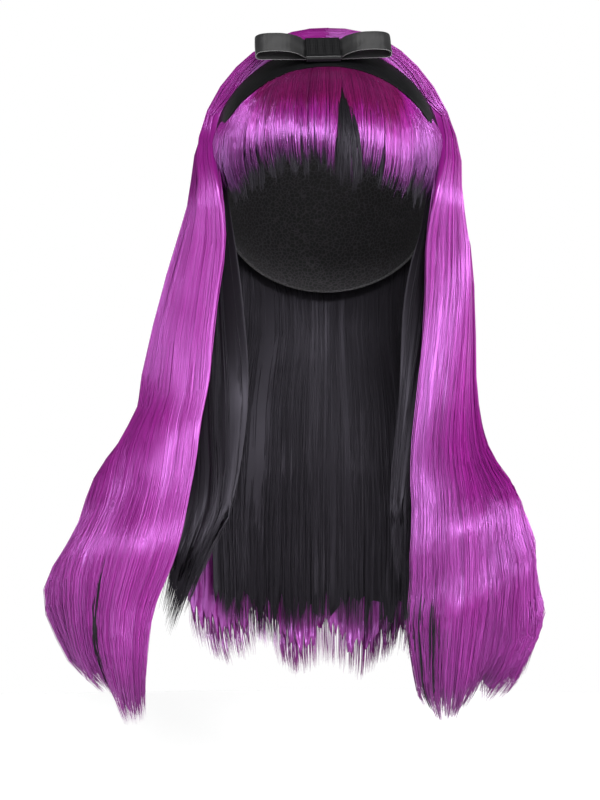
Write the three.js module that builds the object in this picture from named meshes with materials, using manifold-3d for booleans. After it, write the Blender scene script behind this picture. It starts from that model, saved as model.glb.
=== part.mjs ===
// A long two-tone costume wig with a fringe, a satin headband and a flat bow.
//
// Millimetres, +Z up. The origin is the inside of the cap's crown, where the top of the head sits.
// The face looks along -Y. Left and right are as seen from the front, so left is -X.
//
// Hair is made in sheets. A sheet runs from its roots on the cap (along = 0) to its tips (along = 1),
// and across from its front or left edge (across = 0) to its back or right edge (across = 1).
// On the cap a place is given by two angles: turn, round from the face, and drop, down from the crown.
// Below the cap it is given by rows at set heights, each an arc through three points.

import * as THREE from "three";
import { mergeVertices } from "three/addons/utils/BufferGeometryUtils.js";
import Module from "manifold-3d";

const wasm = await Module();
wasm.setup();

// Head and cap
const HEAD_HALF_WIDTH = 76;
const HEAD_HALF_LENGTH = 97;
const HEAD_HALF_HEIGHT = 98;
const CAP_WALL = 1.5;
const CAP_RIM_FRONT = { y: -88, z: -52 };
const CAP_RIM_NAPE = { y: 71, z: -165 };
const CAP_SIDES = 28;
const CAP_RINGS = 14;
const CAP_STRIP_WIDTH = 76;
const CAP_SEAM_GAP = 0.5;

// Hair
const LAYER_GAP = 0.6;
const SEAT_DEPTH = CAP_WALL + 1.1;
const UNDER_DEPTH = 7;
const OVER_DEPTH = UNDER_DEPTH + 1.6;
const TIP_THICKNESS = 2.4;
const EDGE_SHARE = 0.4;
const CROWN_STEPS = 9;

// Headband
const BAND_WIDTH = 25;
const BAND_THICKNESS = 2;
const BAND_LEAN = 37;
const BAND_REACH = 78;
const BAND_DEPTH_TOP = 20;
const BAND_DEPTH_END = 12;
const BAND_RADIUS = 105;

// Bow
const RIBBON_WIDTH = 25;
const RIBBON_THICKNESS = 1;
const BOW_LENGTH = 97;
const BOW_DEPTH = 9;
const BOW_PINCH = 2.6;
const BOW_LIFT = 0.8;
const KNOT_WIDTH = 25;
const BOW_TILT = 2;
const BOW_OFFSET = -3.5;
const FIT_GAP = 0.35;

const PURPLE = new THREE.MeshStandardMaterial({ color: 0xa82cb0, roughness: 0.42, metalness: 0 });
const BLACK_HAIR = new THREE.MeshStandardMaterial({ color: 0x141216, roughness: 0.45, metalness: 0 });
const NET = new THREE.MeshStandardMaterial({ color: 0x1a181c, roughness: 0.9, metalness: 0 });
const SATIN = new THREE.MeshStandardMaterial({ color: 0x1c1c1f, roughness: 0.35, metalness: 0 });

// Roots to ear level of a side sheet, from its front edge beside the band to its back edge behind the ear
const SIDE_CROWN = [
  { front_turn: 0.6, front_drop: 28, back_turn: 179.4, back_drop: 15, depth: 26 },
  { front_turn: 51, front_drop: 39, back_turn: 150, back_drop: 40, depth: 26 },
  { front_turn: 70, front_drop: 59, back_turn: 135, back_drop: 62, depth: 25 },
  { front_turn: 54, front_drop: 90, back_turn: 125, back_drop: 90, depth: 24 },
];

// Roots to ear level of the back sheet, from its left edge to its right edge
const BACK_CROWN = [
  { front_turn: 184, front_drop: 16, back_turn: 176, back_drop: 16, depth: 26 },
  { front_turn: 211, front_drop: 40, back_turn: 149, back_drop: 40, depth: 25 },
  { front_turn: 226, front_drop: 62, back_turn: 134, back_drop: 62, depth: 23 },
  { front_turn: 236, front_drop: 90, back_turn: 124, back_drop: 90, depth: 21 },
];

// Hanging lengths: x is the distance from the middle, y the distance behind the ears
const LEFT_LENGTHS = [
  { z: -135, front_x: 78, front_y: -68, mid_x: 110, mid_y: -8, back_x: 90, back_y: 55, thickness: 16 },
  { z: -175, front_x: 82, front_y: -66, mid_x: 121, mid_y: -18, back_x: 98, back_y: 42, thickness: 17 },
  { z: -250, front_x: 89, front_y: -76, mid_x: 137, mid_y: -42, back_x: 120, back_y: 8, thickness: 19 },
  { z: -320, front_x: 97, front_y: -96, mid_x: 160, mid_y: -88, back_x: 168, back_y: -46, thickness: 22 },
  { z: -360, front_x: 106, front_y: -106, mid_x: 174, mid_y: -100, back_x: 187, back_y: -56, thickness: 23 },
  { z: -400, front_x: 121, front_y: -110, mid_x: 180, mid_y: -104, back_x: 201, back_y: -62, thickness: 23 },
  { z: -440, front_x: 126, front_y: -106, mid_x: 167, mid_y: -100, back_x: 180, back_y: -66, thickness: 18 },
  { z: -490, front_x: 128, front_y: -94, mid_x: 150, mid_y: -90, back_x: 152, back_y: -70, thickness: 10 },
];
const RIGHT_LENGTHS = [
  { z: -135, front_x: 75, front_y: -68, mid_x: 107, mid_y: -8, back_x: 88, back_y: 55, thickness: 16 },
  { z: -175, front_x: 73, front_y: -66, mid_x: 108, mid_y: -18, back_x: 92, back_y: 42, thickness: 17 },
  { z: -250, front_x: 63, front_y: -76, mid_x: 104, mid_y: -50, back_x: 101, back_y: 2, thickness: 19 },
  { z: -285, front_x: 58, front_y: -87, mid_x: 105, mid_y: -80, back_x: 115, back_y: -28, thickness: 21 },
  { z: -320, front_x: 56, front_y: -98, mid_x: 115, mid_y: -106, back_x: 143, back_y: -58, thickness: 22 },
  { z: -360, front_x: 55, front_y: -106, mid_x: 119, mid_y: -116, back_x: 153, back_y: -62, thickness: 24 },
  { z: -400, front_x: 52, front_y: -110, mid_x: 119, mid_y: -120, back_x: 159, back_y: -64, thickness: 24 },
  { z: -440, front_x: 56, front_y: -108, mid_x: 111, mid_y: -114, back_x: 148, back_y: -68, thickness: 20 },
  { z: -485, front_x: 70, front_y: -94, mid_x: 98, mid_y: -96, back_x: 126, back_y: -76, thickness: 10 },
];
const BACK_LENGTHS = [
  { z: -175, front_x: -88, front_y: 60, mid_x: 0, mid_y: 112, back_x: 88, back_y: 60, thickness: 13 },
  { z: -250, front_x: -98, front_y: 66, mid_x: 0, mid_y: 106, back_x: 98, back_y: 66, thickness: 14 },
  { z: -320, front_x: -106, front_y: 70, mid_x: 0, mid_y: 108, back_x: 106, back_y: 70, thickness: 15 },
  { z: -400, front_x: -110, front_y: 72, mid_x: 0, mid_y: 113, back_x: 110, back_y: 72, thickness: 14 },
  { z: -470, front_x: -102, front_y: 72, mid_x: 0, mid_y: 106, back_x: 102, back_y: 72, thickness: 8 },
];

// Black under-layer, from the lower half of the cap
const SIDE_UNDER_CROWN = [
  { front_turn: 66, front_drop: 66, back_turn: 121, back_drop: 68, depth: UNDER_DEPTH },
  { front_turn: 61, front_drop: 90, back_turn: 119, back_drop: 90, depth: UNDER_DEPTH },
];
const BACK_UNDER_CROWN = [
  { front_turn: 234, front_drop: 70, back_turn: 126, back_drop: 70, depth: UNDER_DEPTH },
  { front_turn: 237, front_drop: 90, back_turn: 123, back_drop: 90, depth: UNDER_DEPTH },
];
const LEFT_UNDER_LENGTHS = [
  { z: -175, front_x: 62, front_y: -44, mid_x: 86, mid_y: -5, back_x: 72, back_y: 38, thickness: 7 },
  { z: -250, front_x: 55, front_y: -42, mid_x: 88, mid_y: -30, back_x: 86, back_y: 4, thickness: 8 },
  { z: -320, front_x: 66, front_y: -70, mid_x: 86, mid_y: -67, back_x: 106, back_y: -54, thickness: 8 },
  { z: -360, front_x: 85, front_y: -80, mid_x: 98, mid_y: -77, back_x: 112, back_y: -70, thickness: 7 },
  { z: -420, front_x: 108, front_y: -82, mid_x: 116, mid_y: -79, back_x: 124, back_y: -74, thickness: 5 },
];
const RIGHT_UNDER_LENGTHS = [
  { z: -175, front_x: 56, front_y: -44, mid_x: 84, mid_y: -5, back_x: 72, back_y: 38, thickness: 7 },
  { z: -250, front_x: 50, front_y: -50, mid_x: 72, mid_y: -40, back_x: 84, back_y: -6, thickness: 8 },
  { z: -320, front_x: 44, front_y: -73, mid_x: 62, mid_y: -70, back_x: 82, back_y: -62, thickness: 8 },
  { z: -400, front_x: 47, front_y: -82, mid_x: 58, mid_y: -80, back_x: 72, back_y: -76, thickness: 6 },
];
const BACK_UNDER_LENGTHS = [
  { z: -175, front_x: -74, front_y: 50, mid_x: 0, mid_y: 96, back_x: 74, back_y: 50, thickness: 7 },
  { z: -250, front_x: -84, front_y: 55, mid_x: 0, mid_y: 89, back_x: 84, back_y: 55, thickness: 8 },
  { z: -320, front_x: -90, front_y: 58, mid_x: 0, mid_y: 90, back_x: 90, back_y: 58, thickness: 8 },
  { z: -400, front_x: -90, front_y: 60, mid_x: 0, mid_y: 95, back_x: 90, back_y: 60, thickness: 8 },
  { z: -450, front_x: -82, front_y: 62, mid_x: 0, mid_y: 93, back_x: 82, back_y: 62, thickness: 6 },
];

// Height at which each part of a sheet's lower edge ends: locks reach low, the notches between them less
const LEFT_TIPS = [
  { across: 0, z: -466 },
  { across: 0.17, z: -479 },
  { across: 0.34, z: -453 },
  { across: 0.52, z: -450 },
  { across: 0.67, z: -434 },
  { across: 0.84, z: -436 },
  { across: 1, z: -410 },
];
const RIGHT_TIPS = [
  { across: 0, z: -458 },
  { across: 0.18, z: -475 },
  { across: 0.36, z: -466 },
  { across: 0.5, z: -446 },
  { across: 0.72, z: -456 },
  { across: 0.9, z: -446 },
  { across: 1, z: -424 },
];
const BACK_TIPS = [
  { across: 0, z: -430 },
  { across: 0.12, z: -448 },
  { across: 0.26, z: -440 },
  { across: 0.38, z: -460 },
  { across: 0.5, z: -448 },
  { across: 0.62, z: -462 },
  { across: 0.76, z: -442 },
  { across: 0.88, z: -450 },
  { across: 1, z: -430 },
];
const LEFT_UNDER_TIPS = [
  { across: 0, z: -402 },
  { across: 0.5, z: -414 },
  { across: 1, z: -404 },
];
const RIGHT_UNDER_TIPS = [
  { across: 0, z: -380 },
  { across: 0.5, z: -392 },
  { across: 1, z: -384 },
];
const BACK_UNDER_TIPS = [
  { across: 0, z: -418 },
  { across: 0.25, z: -436 },
  { across: 0.5, z: -428 },
  { across: 0.75, z: -438 },
  { across: 1, z: -418 },
];

// Fringe: rise is the height of its outer face over the underside of the band
const FRINGE_TUCK = 3;
const FRINGE_HALF_SPAN = 52;
const FRINGE_HALF_TURN = 62;
const FRINGE_ROWS = [
  { along: 0, rise: -0.8, thickness: 5 },
  { along: 0.16, rise: -0.8, thickness: 5 },
  { along: 0.24, rise: 2.5, thickness: 8 },
  { along: 0.55, rise: 1, thickness: 8 },
  { along: 0.85, rise: -3, thickness: 6 },
  { along: 1, rise: -6, thickness: 3 },
];
const FRINGE_UNDER_ROWS = [
  { along: 0.4, rise: -8.6, thickness: 4.4 },
  { along: 0.7, rise: -9.6, thickness: 4 },
  { along: 1, rise: -10.8, thickness: 2.4 },
];
const FRINGE_TIPS = [
  { across: 0, drop: 92 },
  { across: 0.16, drop: 90 },
  { across: 0.3, drop: 83 },
  { across: 0.45, drop: 81 },
  { across: 0.56, drop: 86 },
  { across: 0.75, drop: 89 },
  { across: 1, drop: 92 },
];
const FRINGE_UNDER_TIPS = [
  { across: 0, drop: 98 },
  { across: 0.14, drop: 97 },
  { across: 0.28, drop: 92 },
  { across: 0.42, drop: 87 },
  { across: 0.54, drop: 94 },
  { across: 0.72, drop: 92 },
  { across: 0.86, drop: 98 },
  { across: 1, drop: 99 },
];
const STREAK_TIPS = [
  { across: 0.5, drop: 93 },
  { across: 0.65, drop: 95 },
];
const STREAK_LEFT = 0.545;
const STREAK_RIGHT = 0.6;

const radians = THREE.MathUtils.degToRad;
const mix = THREE.MathUtils.lerp;
const headCentre = new THREE.Vector3(0, 0, -HEAD_HALF_HEIGHT);
const headHalf = new THREE.Vector3(HEAD_HALF_WIDTH, HEAD_HALF_LENGTH, HEAD_HALF_HEIGHT);

// Value of a column at a place in a short table, eased between its rows.
function lookUp(table, key, at, column) {
  const last = table.length - 1;
  let i = 0;
  while (i < last - 1 && at > table[i + 1][key]) i++;
  const share = (at - table[i][key]) / (table[i + 1][key] - table[i][key]);
  return mix(table[i][column], table[i + 1][column], THREE.MathUtils.smoothstep(share, 0, 1));
}

// Direction from the middle of the head, for a turn round from the face and a drop from the crown.
function direction(turn, drop) {
  const around = Math.sin(radians(drop));
  return new THREE.Vector3(
    around * Math.sin(radians(turn)),
    -around * Math.cos(radians(turn)),
    Math.cos(radians(drop)),
  );
}

// Outward normal of the head, and a point a given depth of hair above it, in a direction.
function headNormal(way) {
  return way.clone().divide(headHalf).normalize();
}
function overHead(way, depth) {
  return way.clone().multiply(headHalf).add(headCentre).addScaledVector(headNormal(way), depth);
}

// Closed mesh of a wall between two faces: at(across, along, inner) gives a point of either face.
function wallGeometry(at, columns, rows) {
  const points = [];
  for (const inner of [0, 1])
    for (let i = 0; i <= columns; i++)
      for (let j = 0; j <= rows; j++) points.push(at(i / columns, j / rows, inner));
  const id = (i, j, inner) => (inner * (columns + 1) + i) * (rows + 1) + j;
  const faces = [];
  const quad = (a, b, c, d) => faces.push(a, b, c, a, c, d);
  for (let i = 0; i < columns; i++)
    for (let j = 0; j < rows; j++) {
      quad(id(i, j, 0), id(i, j + 1, 0), id(i + 1, j + 1, 0), id(i + 1, j, 0));
      quad(id(i, j, 1), id(i + 1, j, 1), id(i + 1, j + 1, 1), id(i, j + 1, 1));
    }
  for (let i = 0; i < columns; i++) {
    quad(id(i, 0, 0), id(i + 1, 0, 0), id(i + 1, 0, 1), id(i, 0, 1));
    quad(id(i, rows, 0), id(i, rows, 1), id(i + 1, rows, 1), id(i + 1, rows, 0));
  }
  for (let j = 0; j < rows; j++) {
    quad(id(0, j, 0), id(0, j, 1), id(0, j + 1, 1), id(0, j + 1, 0));
    quad(id(columns, j, 0), id(columns, j + 1, 0), id(columns, j + 1, 1), id(columns, j, 1));
  }
  const geometry = new THREE.BufferGeometry().setFromPoints(points);
  geometry.setIndex(volumeOf(points, faces) < 0 ? faces.reverse() : faces);
  return geometry;
}

function volumeOf(points, faces) {
  let sum = 0;
  const cross = new THREE.Vector3();
  for (let k = 0; k < faces.length; k += 3)
    sum += points[faces[k]].dot(cross.crossVectors(points[faces[k + 1]], points[faces[k + 2]]));
  return sum / 6;
}

// Geometry to solid and back, for joins and cuts.
function solidOf(geometry) {
  const bare = geometry.clone();
  bare.deleteAttribute("normal");
  bare.deleteAttribute("uv");
  const merged = mergeVertices(bare, 1e-4);
  return new wasm.Manifold(
    new wasm.Mesh({
      numProp: 3,
      vertProperties: merged.attributes.position.array,
      triVerts: new Uint32Array(merged.index.array),
    }),
  );
}
function geometryOf(solid) {
  const pieces = solid.decompose();
  pieces.sort((a, b) => b.volume() - a.volume());
  const mesh = pieces[0].getMesh();
  const geometry = new THREE.BufferGeometry();
  geometry.setAttribute("position", new THREE.BufferAttribute(mesh.vertProperties, 3));
  geometry.setIndex(new THREE.BufferAttribute(mesh.triVerts, 1));
  return geometry;
}

// Strand guides

// Places on the cap from root to ear level, each with its outward direction and thickness.
function crownPlaces(sheet, across) {
  const rows = sheet.crown;
  const ways = rows.map((row) => {
    const front = direction(row.front_turn, row.front_drop);
    return front.lerp(direction(row.back_turn, row.back_drop), across).normalize();
  });
  const path = new THREE.CatmullRomCurve3(ways);
  return Array.from({ length: CROWN_STEPS + 1 }, (_, k) => {
    const share = k / CROWN_STEPS;
    const way = path.getPoint(share).normalize();
    way.x *= sheet.side;
    const row = Math.min(Math.floor(share * (rows.length - 1)), rows.length - 2);
    const depth = mix(rows[row].depth, rows[row + 1].depth, share * (rows.length - 1) - row);
    return { point: overHead(way, depth), out: headNormal(way), thickness: depth - sheet.seat(way), onCap: true };
  });
}

// Place in one hanging row: an arc through its front, middle and back points.
function lengthPlace(row, across, sheet) {
  const front = (1 - across) * (1 - 2 * across);
  const mid = 4 * across * (1 - across);
  const back = across * (2 * across - 1);
  const slope = [4 * across - 3, 4 - 8 * across, 4 * across - 1];
  const x = front * row.front_x + mid * row.mid_x + back * row.back_x;
  const y = front * row.front_y + mid * row.mid_y + back * row.back_y;
  const dx = slope[0] * row.front_x + slope[1] * row.mid_x + slope[2] * row.back_x;
  const dy = slope[0] * row.front_y + slope[1] * row.mid_y + slope[2] * row.back_y;
  const out = new THREE.Vector3(dy * sheet.side, -dx, 0).normalize().multiplyScalar(sheet.facing);
  return { point: new THREE.Vector3(x * sheet.side, y, row.z), out, thickness: row.thickness };
}

// Hanging rows down to a height, with the last one worked out at that height and as thin as a tip.
function rowsDownTo(rows, z) {
  const kept = rows.filter((row) => row.z > z + 12);
  const above = kept[kept.length - 1];
  const below = rows[kept.length];
  const share = (z - above.z) / (below.z - above.z);
  const tip = { thickness: TIP_THICKNESS };
  for (const column of Object.keys(above))
    if (column !== "thickness") tip[column] = mix(above[column], below[column], share);
  return [...kept, tip];
}

// Curve that a strand follows from root to tip. inner is 0 on the sheet's outer face and 1 on its inner one.
function strand(sheet, across, inner, grow) {
  const end = lookUp(sheet.tips, "across", THREE.MathUtils.clamp(across, 0, 1), "z") - grow;
  const places = [
    ...crownPlaces(sheet, across),
    ...rowsDownTo(sheet.lengths, end).map((row) => lengthPlace(row, across, sheet)),
  ];
  const bulge = 1 - (2 * across - 1) ** 2;
  const fullness = EDGE_SHARE + (1 - EDGE_SHARE) * Math.sqrt(Math.max(bulge, 0));
  const groove = 0.5 + 0.5 * Math.cos(2 * Math.PI * sheet.locks * across);
  const last = places.length - 1;
  const points = places.map((place, k) => {
    const dip = sheet.groove * groove * (k / last) * Math.min(1, place.thickness / 12);
    const wall = place.onCap ? place.thickness : place.thickness * fullness;
    return place.point.addScaledVector(place.out, inner ? -wall - grow : grow - dip);
  });
  return new THREE.CatmullRomCurve3(points);
}

// A sheet of hair as a solid. grow makes it larger all round, for cutting its neighbours.
function hairGeometry(sheet, grow = 0) {
  const strands = [0, 1].map((inner) =>
    Array.from({ length: sheet.columns + 1 }, (_, i) => {
      const margin = (2 * grow) / sheet.width;
      const across = mix(-margin, 1 + margin, i / sheet.columns);
      return strand(sheet, across, inner, grow);
    }),
  );
  const at = (across, along, inner) =>
    strands[inner][Math.round(across * sheet.columns)].getPointAt(along ** 1.25);
  return wallGeometry(at, sheet.columns, sheet.rows);
}

// Headband

// Direction on the band's arch: over is the angle from its top, ahead a distance in front of its middle line.
function bandDirection(over, ahead) {
  const lean = radians(BAND_LEAN);
  const forward = new THREE.Vector3(0, -Math.cos(lean), -Math.sin(lean));
  return new THREE.Vector3(
    Math.sin(radians(over)),
    -Math.cos(radians(over)) * Math.sin(lean),
    Math.cos(radians(over)) * Math.cos(lean),
  )
    .addScaledVector(forward, ahead / BAND_RADIUS)
    .normalize();
}
function bandDepth(over) {
  return mix(BAND_DEPTH_TOP, BAND_DEPTH_END, (over / BAND_REACH) ** 2);
}
function bandGeometry(grow = 0) {
  const at = (across, along, inner) => {
    const over = mix(-BAND_REACH - grow, BAND_REACH + grow, along);
    const ahead = (across - 0.5) * (BAND_WIDTH + 2 * grow);
    const pad = BAND_THICKNESS * (0.6 + 0.4 * Math.sqrt(Math.max(0, 1 - (2 * across - 1) ** 2)));
    const depth = bandDepth(over) + (inner ? -grow : pad + grow);
    return overHead(bandDirection(over, ahead), depth);
  };
  return wallGeometry(at, 4, 28);
}

// Fringe

// One block of the fringe, between two places across it.
function fringeGeometry(rows, tips, from, to, columns, steps, grow = 0) {
  const at = (share, along, inner) => {
    const across = mix(from - grow / 150, to + grow / 150, share);
    const over = mix(-FRINGE_HALF_SPAN, FRINGE_HALF_SPAN, across);
    const turn = mix(-FRINGE_HALF_TURN, FRINGE_HALF_TURN, across);
    const reach = mix(rows[0].along, 1, along);
    const root = bandDirection(over, FRINGE_TUCK - BAND_WIDTH / 2);
    const way = root.lerp(direction(turn, lookUp(tips, "across", across, "drop")), reach).normalize();
    const thickness = lookUp(rows, "along", reach, "thickness") + grow;
    const depth = bandDepth(over) + lookUp(rows, "along", reach, "rise") + (inner ? -thickness : grow);
    return overHead(way, depth);
  };
  return wallGeometry(at, columns, steps);
}

// Cap

// A shell the shape of the head, trimmed by the slanting plane of its rim.
function capGeometry(grow = 0) {
  const shell = (wall) =>
    new THREE.SphereGeometry(1, CAP_SIDES, CAP_RINGS)
      .rotateX(Math.PI / 2)
      .scale(HEAD_HALF_WIDTH + wall, HEAD_HALF_LENGTH + wall, HEAD_HALF_HEIGHT + wall)
      .translate(headCentre.x, headCentre.y, headCentre.z);
  const reach = 4 * HEAD_HALF_LENGTH;
  const run = CAP_RIM_NAPE.y - CAP_RIM_FRONT.y;
  const slant = Math.atan2(CAP_RIM_NAPE.z - CAP_RIM_FRONT.z, run);
  const below = new THREE.BoxGeometry(reach, reach, reach)
    .translate(0, 0, -reach / 2)
    .rotateX(slant)
    .translate(0, CAP_RIM_FRONT.y, CAP_RIM_FRONT.z);
  return geometryOf(solidOf(shell(CAP_WALL + grow)).subtract(solidOf(shell(0))).subtract(solidOf(below)));
}

// One sewn panel of the cap: the part of it from one corner of a block to the other.
function capPanel(from, to) {
  const size = new THREE.Vector2().subVectors(to, from).subScalar(CAP_SEAM_GAP);
  const block = new THREE.BoxGeometry(size.x, size.y, 4 * HEAD_HALF_HEIGHT)
    .translate((from.x + to.x) / 2, (from.y + to.y) / 2, 0);
  return geometryOf(solidOf(capGeometry()).intersect(solidOf(block)));
}

// Bow, flat on the band: x along the bow, y up off the band, extruded along the ribbon's width

// Outline of the folded ribbon's loop on one side, or of the space in it.
function loopOutline(inset) {
  const end = BOW_LENGTH / 2 - inset;
  const low = BOW_LIFT + inset;
  const high = BOW_DEPTH - inset;
  const waist = KNOT_WIDTH / 2 + 2 * inset;
  const pinch = BOW_PINCH - inset;
  const loop = new THREE.Path();
  loop.moveTo(waist, inset);
  loop.lineTo(end - 3, low);
  loop.bezierCurveTo(end + 0.8, low, end + 0.8, high - 2, end - 3, high - 1);
  loop.bezierCurveTo(end - 16, high + 1, waist + 9, high, waist, pinch);
  return loop.getPoints(6);
}
function bowGeometry() {
  const mirrored = (points) => points.map((point) => new THREE.Vector2(-point.x, point.y)).reverse();
  const right = loopOutline(0);
  const outline = new THREE.Shape([...right, ...mirrored(right)]);
  const space = loopOutline(RIBBON_THICKNESS);
  outline.holes = [new THREE.Path(space), new THREE.Path(mirrored(space))];
  const loops = new THREE.ExtrudeGeometry(outline, { depth: RIBBON_WIDTH, bevelEnabled: false });
  return loops.translate(0, 0, -RIBBON_WIDTH / 2);
}

// Ring of ribbon round the pinched middle.
function knotGeometry() {
  const ring = (out) => [
    new THREE.Vector2(-RIBBON_WIDTH / 2 - out, -out),
    new THREE.Vector2(RIBBON_WIDTH / 2 + out, -out),
    new THREE.Vector2(RIBBON_WIDTH / 2 + out, BOW_PINCH + out),
    new THREE.Vector2(-RIBBON_WIDTH / 2 - out, BOW_PINCH + out),
  ];
  const outline = new THREE.Shape(ring(FIT_GAP + RIBBON_THICKNESS));
  outline.holes = [new THREE.Path(ring(FIT_GAP))];
  const knot = new THREE.ExtrudeGeometry(outline, { depth: KNOT_WIDTH - 2 * FIT_GAP, bevelEnabled: false });
  return knot.translate(0, 0, FIT_GAP - KNOT_WIDTH / 2).rotateY(Math.PI / 2);
}

// Sheets

const crownSeat = () => SEAT_DEPTH;
// Over the black layer the purple hair starts higher.
const overUnderSeat = (way) => mix(SEAT_DEPTH, OVER_DEPTH, THREE.MathUtils.smoothstep(0.62 - way.z, 0, 0.2));

const sheets = {
  left_hair: {
    crown: SIDE_CROWN, lengths: LEFT_LENGTHS, tips: LEFT_TIPS, seat: overUnderSeat,
    side: -1, facing: 1, locks: 3, groove: 7, width: 120, columns: 12, rows: 23,
  },
  right_hair: {
    crown: SIDE_CROWN, lengths: RIGHT_LENGTHS, tips: RIGHT_TIPS, seat: overUnderSeat,
    side: 1, facing: 1, locks: 2, groove: 7, width: 120, columns: 12, rows: 23,
  },
  back_hair: {
    crown: BACK_CROWN, lengths: BACK_LENGTHS, tips: BACK_TIPS, seat: overUnderSeat,
    side: 1, facing: -1, locks: 4, groove: 5, width: 200, columns: 16, rows: 18,
  },
  left_under_hair: {
    crown: SIDE_UNDER_CROWN, lengths: LEFT_UNDER_LENGTHS, tips: LEFT_UNDER_TIPS, seat: crownSeat,
    side: -1, facing: 1, locks: 2, groove: 2, width: 80, columns: 8, rows: 16,
  },
  right_under_hair: {
    crown: SIDE_UNDER_CROWN, lengths: RIGHT_UNDER_LENGTHS, tips: RIGHT_UNDER_TIPS, seat: crownSeat,
    side: 1, facing: 1, locks: 2, groove: 2, width: 80, columns: 8, rows: 16,
  },
  back_under_hair: {
    crown: BACK_UNDER_CROWN, lengths: BACK_UNDER_LENGTHS, tips: BACK_UNDER_TIPS, seat: crownSeat,
    side: 1, facing: -1, locks: 4, groove: 2, width: 170, columns: 14, rows: 14,
  },
};

const wig = new THREE.Group();
function add(name, geometry, material) {
  const mesh = new THREE.Mesh(geometry, material);
  mesh.name = name;
  wig.add(mesh);
  return mesh;
}

const cut = (geometry, ...cutters) =>
  geometryOf(cutters.reduce((rest, cutter) => rest.subtract(cutter), solidOf(geometry)));

// Each piece with its material, its shape at a given growth, and the neighbours that it gives way to
const gapAcross = (1.6 * LAYER_GAP) / 150;
const sheetPiece = (name, material, ...neighbours) => ({
  name, material, neighbours, shape: (grow) => hairGeometry(sheets[name], grow),
});
const fringePiece = (name, material, block, ...neighbours) => ({
  name, material, neighbours, shape: (grow) => fringeGeometry(...block, grow),
});
const CAP_REACH = 2 * HEAD_HALF_LENGTH;
const capPiece = (name, left, front, right, back) => ({
  name, material: NET, neighbours: [],
  shape: () => capPanel(new THREE.Vector2(left, front), new THREE.Vector2(right, back)),
});
const pieces = [
  capPiece("cap_left", -CAP_REACH, -CAP_REACH, -CAP_STRIP_WIDTH / 2, CAP_REACH),
  capPiece("cap_right", CAP_STRIP_WIDTH / 2, -CAP_REACH, CAP_REACH, CAP_REACH),
  capPiece("cap_front", -CAP_STRIP_WIDTH / 2, -CAP_REACH, CAP_STRIP_WIDTH / 2, 0),
  capPiece("cap_back", -CAP_STRIP_WIDTH / 2, 0, CAP_STRIP_WIDTH / 2, CAP_REACH),
  { name: "headband", material: SATIN, neighbours: [], shape: bandGeometry },
  sheetPiece("left_hair", PURPLE, "headband"),
  sheetPiece("right_hair", PURPLE, "headband"),
  sheetPiece("back_hair", PURPLE, "left_hair", "right_hair"),
  sheetPiece("left_under_hair", BLACK_HAIR, "left_hair", "wig_cap"),
  sheetPiece("right_under_hair", BLACK_HAIR, "right_hair", "wig_cap"),
  sheetPiece("back_under_hair", BLACK_HAIR,
    "back_hair", "left_hair", "right_hair", "left_under_hair", "right_under_hair", "wig_cap"),
  fringePiece("fringe_left", PURPLE, [FRINGE_ROWS, FRINGE_TIPS, 0, STREAK_LEFT - gapAcross, 9, 9],
    "headband", "left_hair"),
  fringePiece("fringe_right", PURPLE, [FRINGE_ROWS, FRINGE_TIPS, STREAK_RIGHT + gapAcross, 1, 7, 9],
    "headband", "right_hair"),
  fringePiece("fringe_streak", BLACK_HAIR, [FRINGE_ROWS, STREAK_TIPS, STREAK_LEFT, STREAK_RIGHT, 2, 9],
    "headband", "fringe_left", "fringe_right"),
  fringePiece("fringe_under", BLACK_HAIR, [FRINGE_UNDER_ROWS, FRINGE_UNDER_TIPS, 0.08, 0.92, 14, 7],
    "fringe_left", "fringe_right", "fringe_streak", "left_hair", "right_hair", "left_under_hair",
    "right_under_hair", "wig_cap"),
];
const grown = { wig_cap: solidOf(capGeometry(LAYER_GAP)) };
for (const piece of pieces) grown[piece.name] = solidOf(piece.shape(LAYER_GAP));
for (const { name, material, neighbours, shape } of pieces)
  add(name, neighbours.length ? cut(shape(0), ...neighbours.map((other) => grown[other])) : shape(0), material);

const bow = new THREE.Group();
const bandTop = bandDirection(0, 0);
const bandUp = headNormal(bandTop);
bow.position.copy(overHead(bandTop, BAND_DEPTH_TOP + BAND_THICKNESS + RIBBON_THICKNESS + 2 * FIT_GAP));
bow.position.x = BOW_OFFSET;
bow.rotation.set(Math.atan2(bandUp.z, bandUp.y), radians(BOW_TILT), 0, "XYZ");
for (const [name, geometry] of [["bow_loops", bowGeometry()], ["bow_knot", knotGeometry()]])
  bow.add(Object.assign(new THREE.Mesh(geometry, SATIN), { name }));
wig.add(bow);

export default wig;
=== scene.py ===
"""Looks of a long two-tone costume wig: purple hair over black, a fringe, a satin headband and a flat bow.

Sizes are in millimetres until a mesh is made, and the frame is the part's own: the origin is the inside
of the cap's crown, +Z is up and the face looks along -Y. Left and right are as seen from the front.
Hair is combed in sheets. A strand's place in its sheet is given by across (front or left edge to back or
right edge), inner (outer face to inner face) and along (root to tip).
"""

import math
from functools import partial
from types import SimpleNamespace

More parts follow.
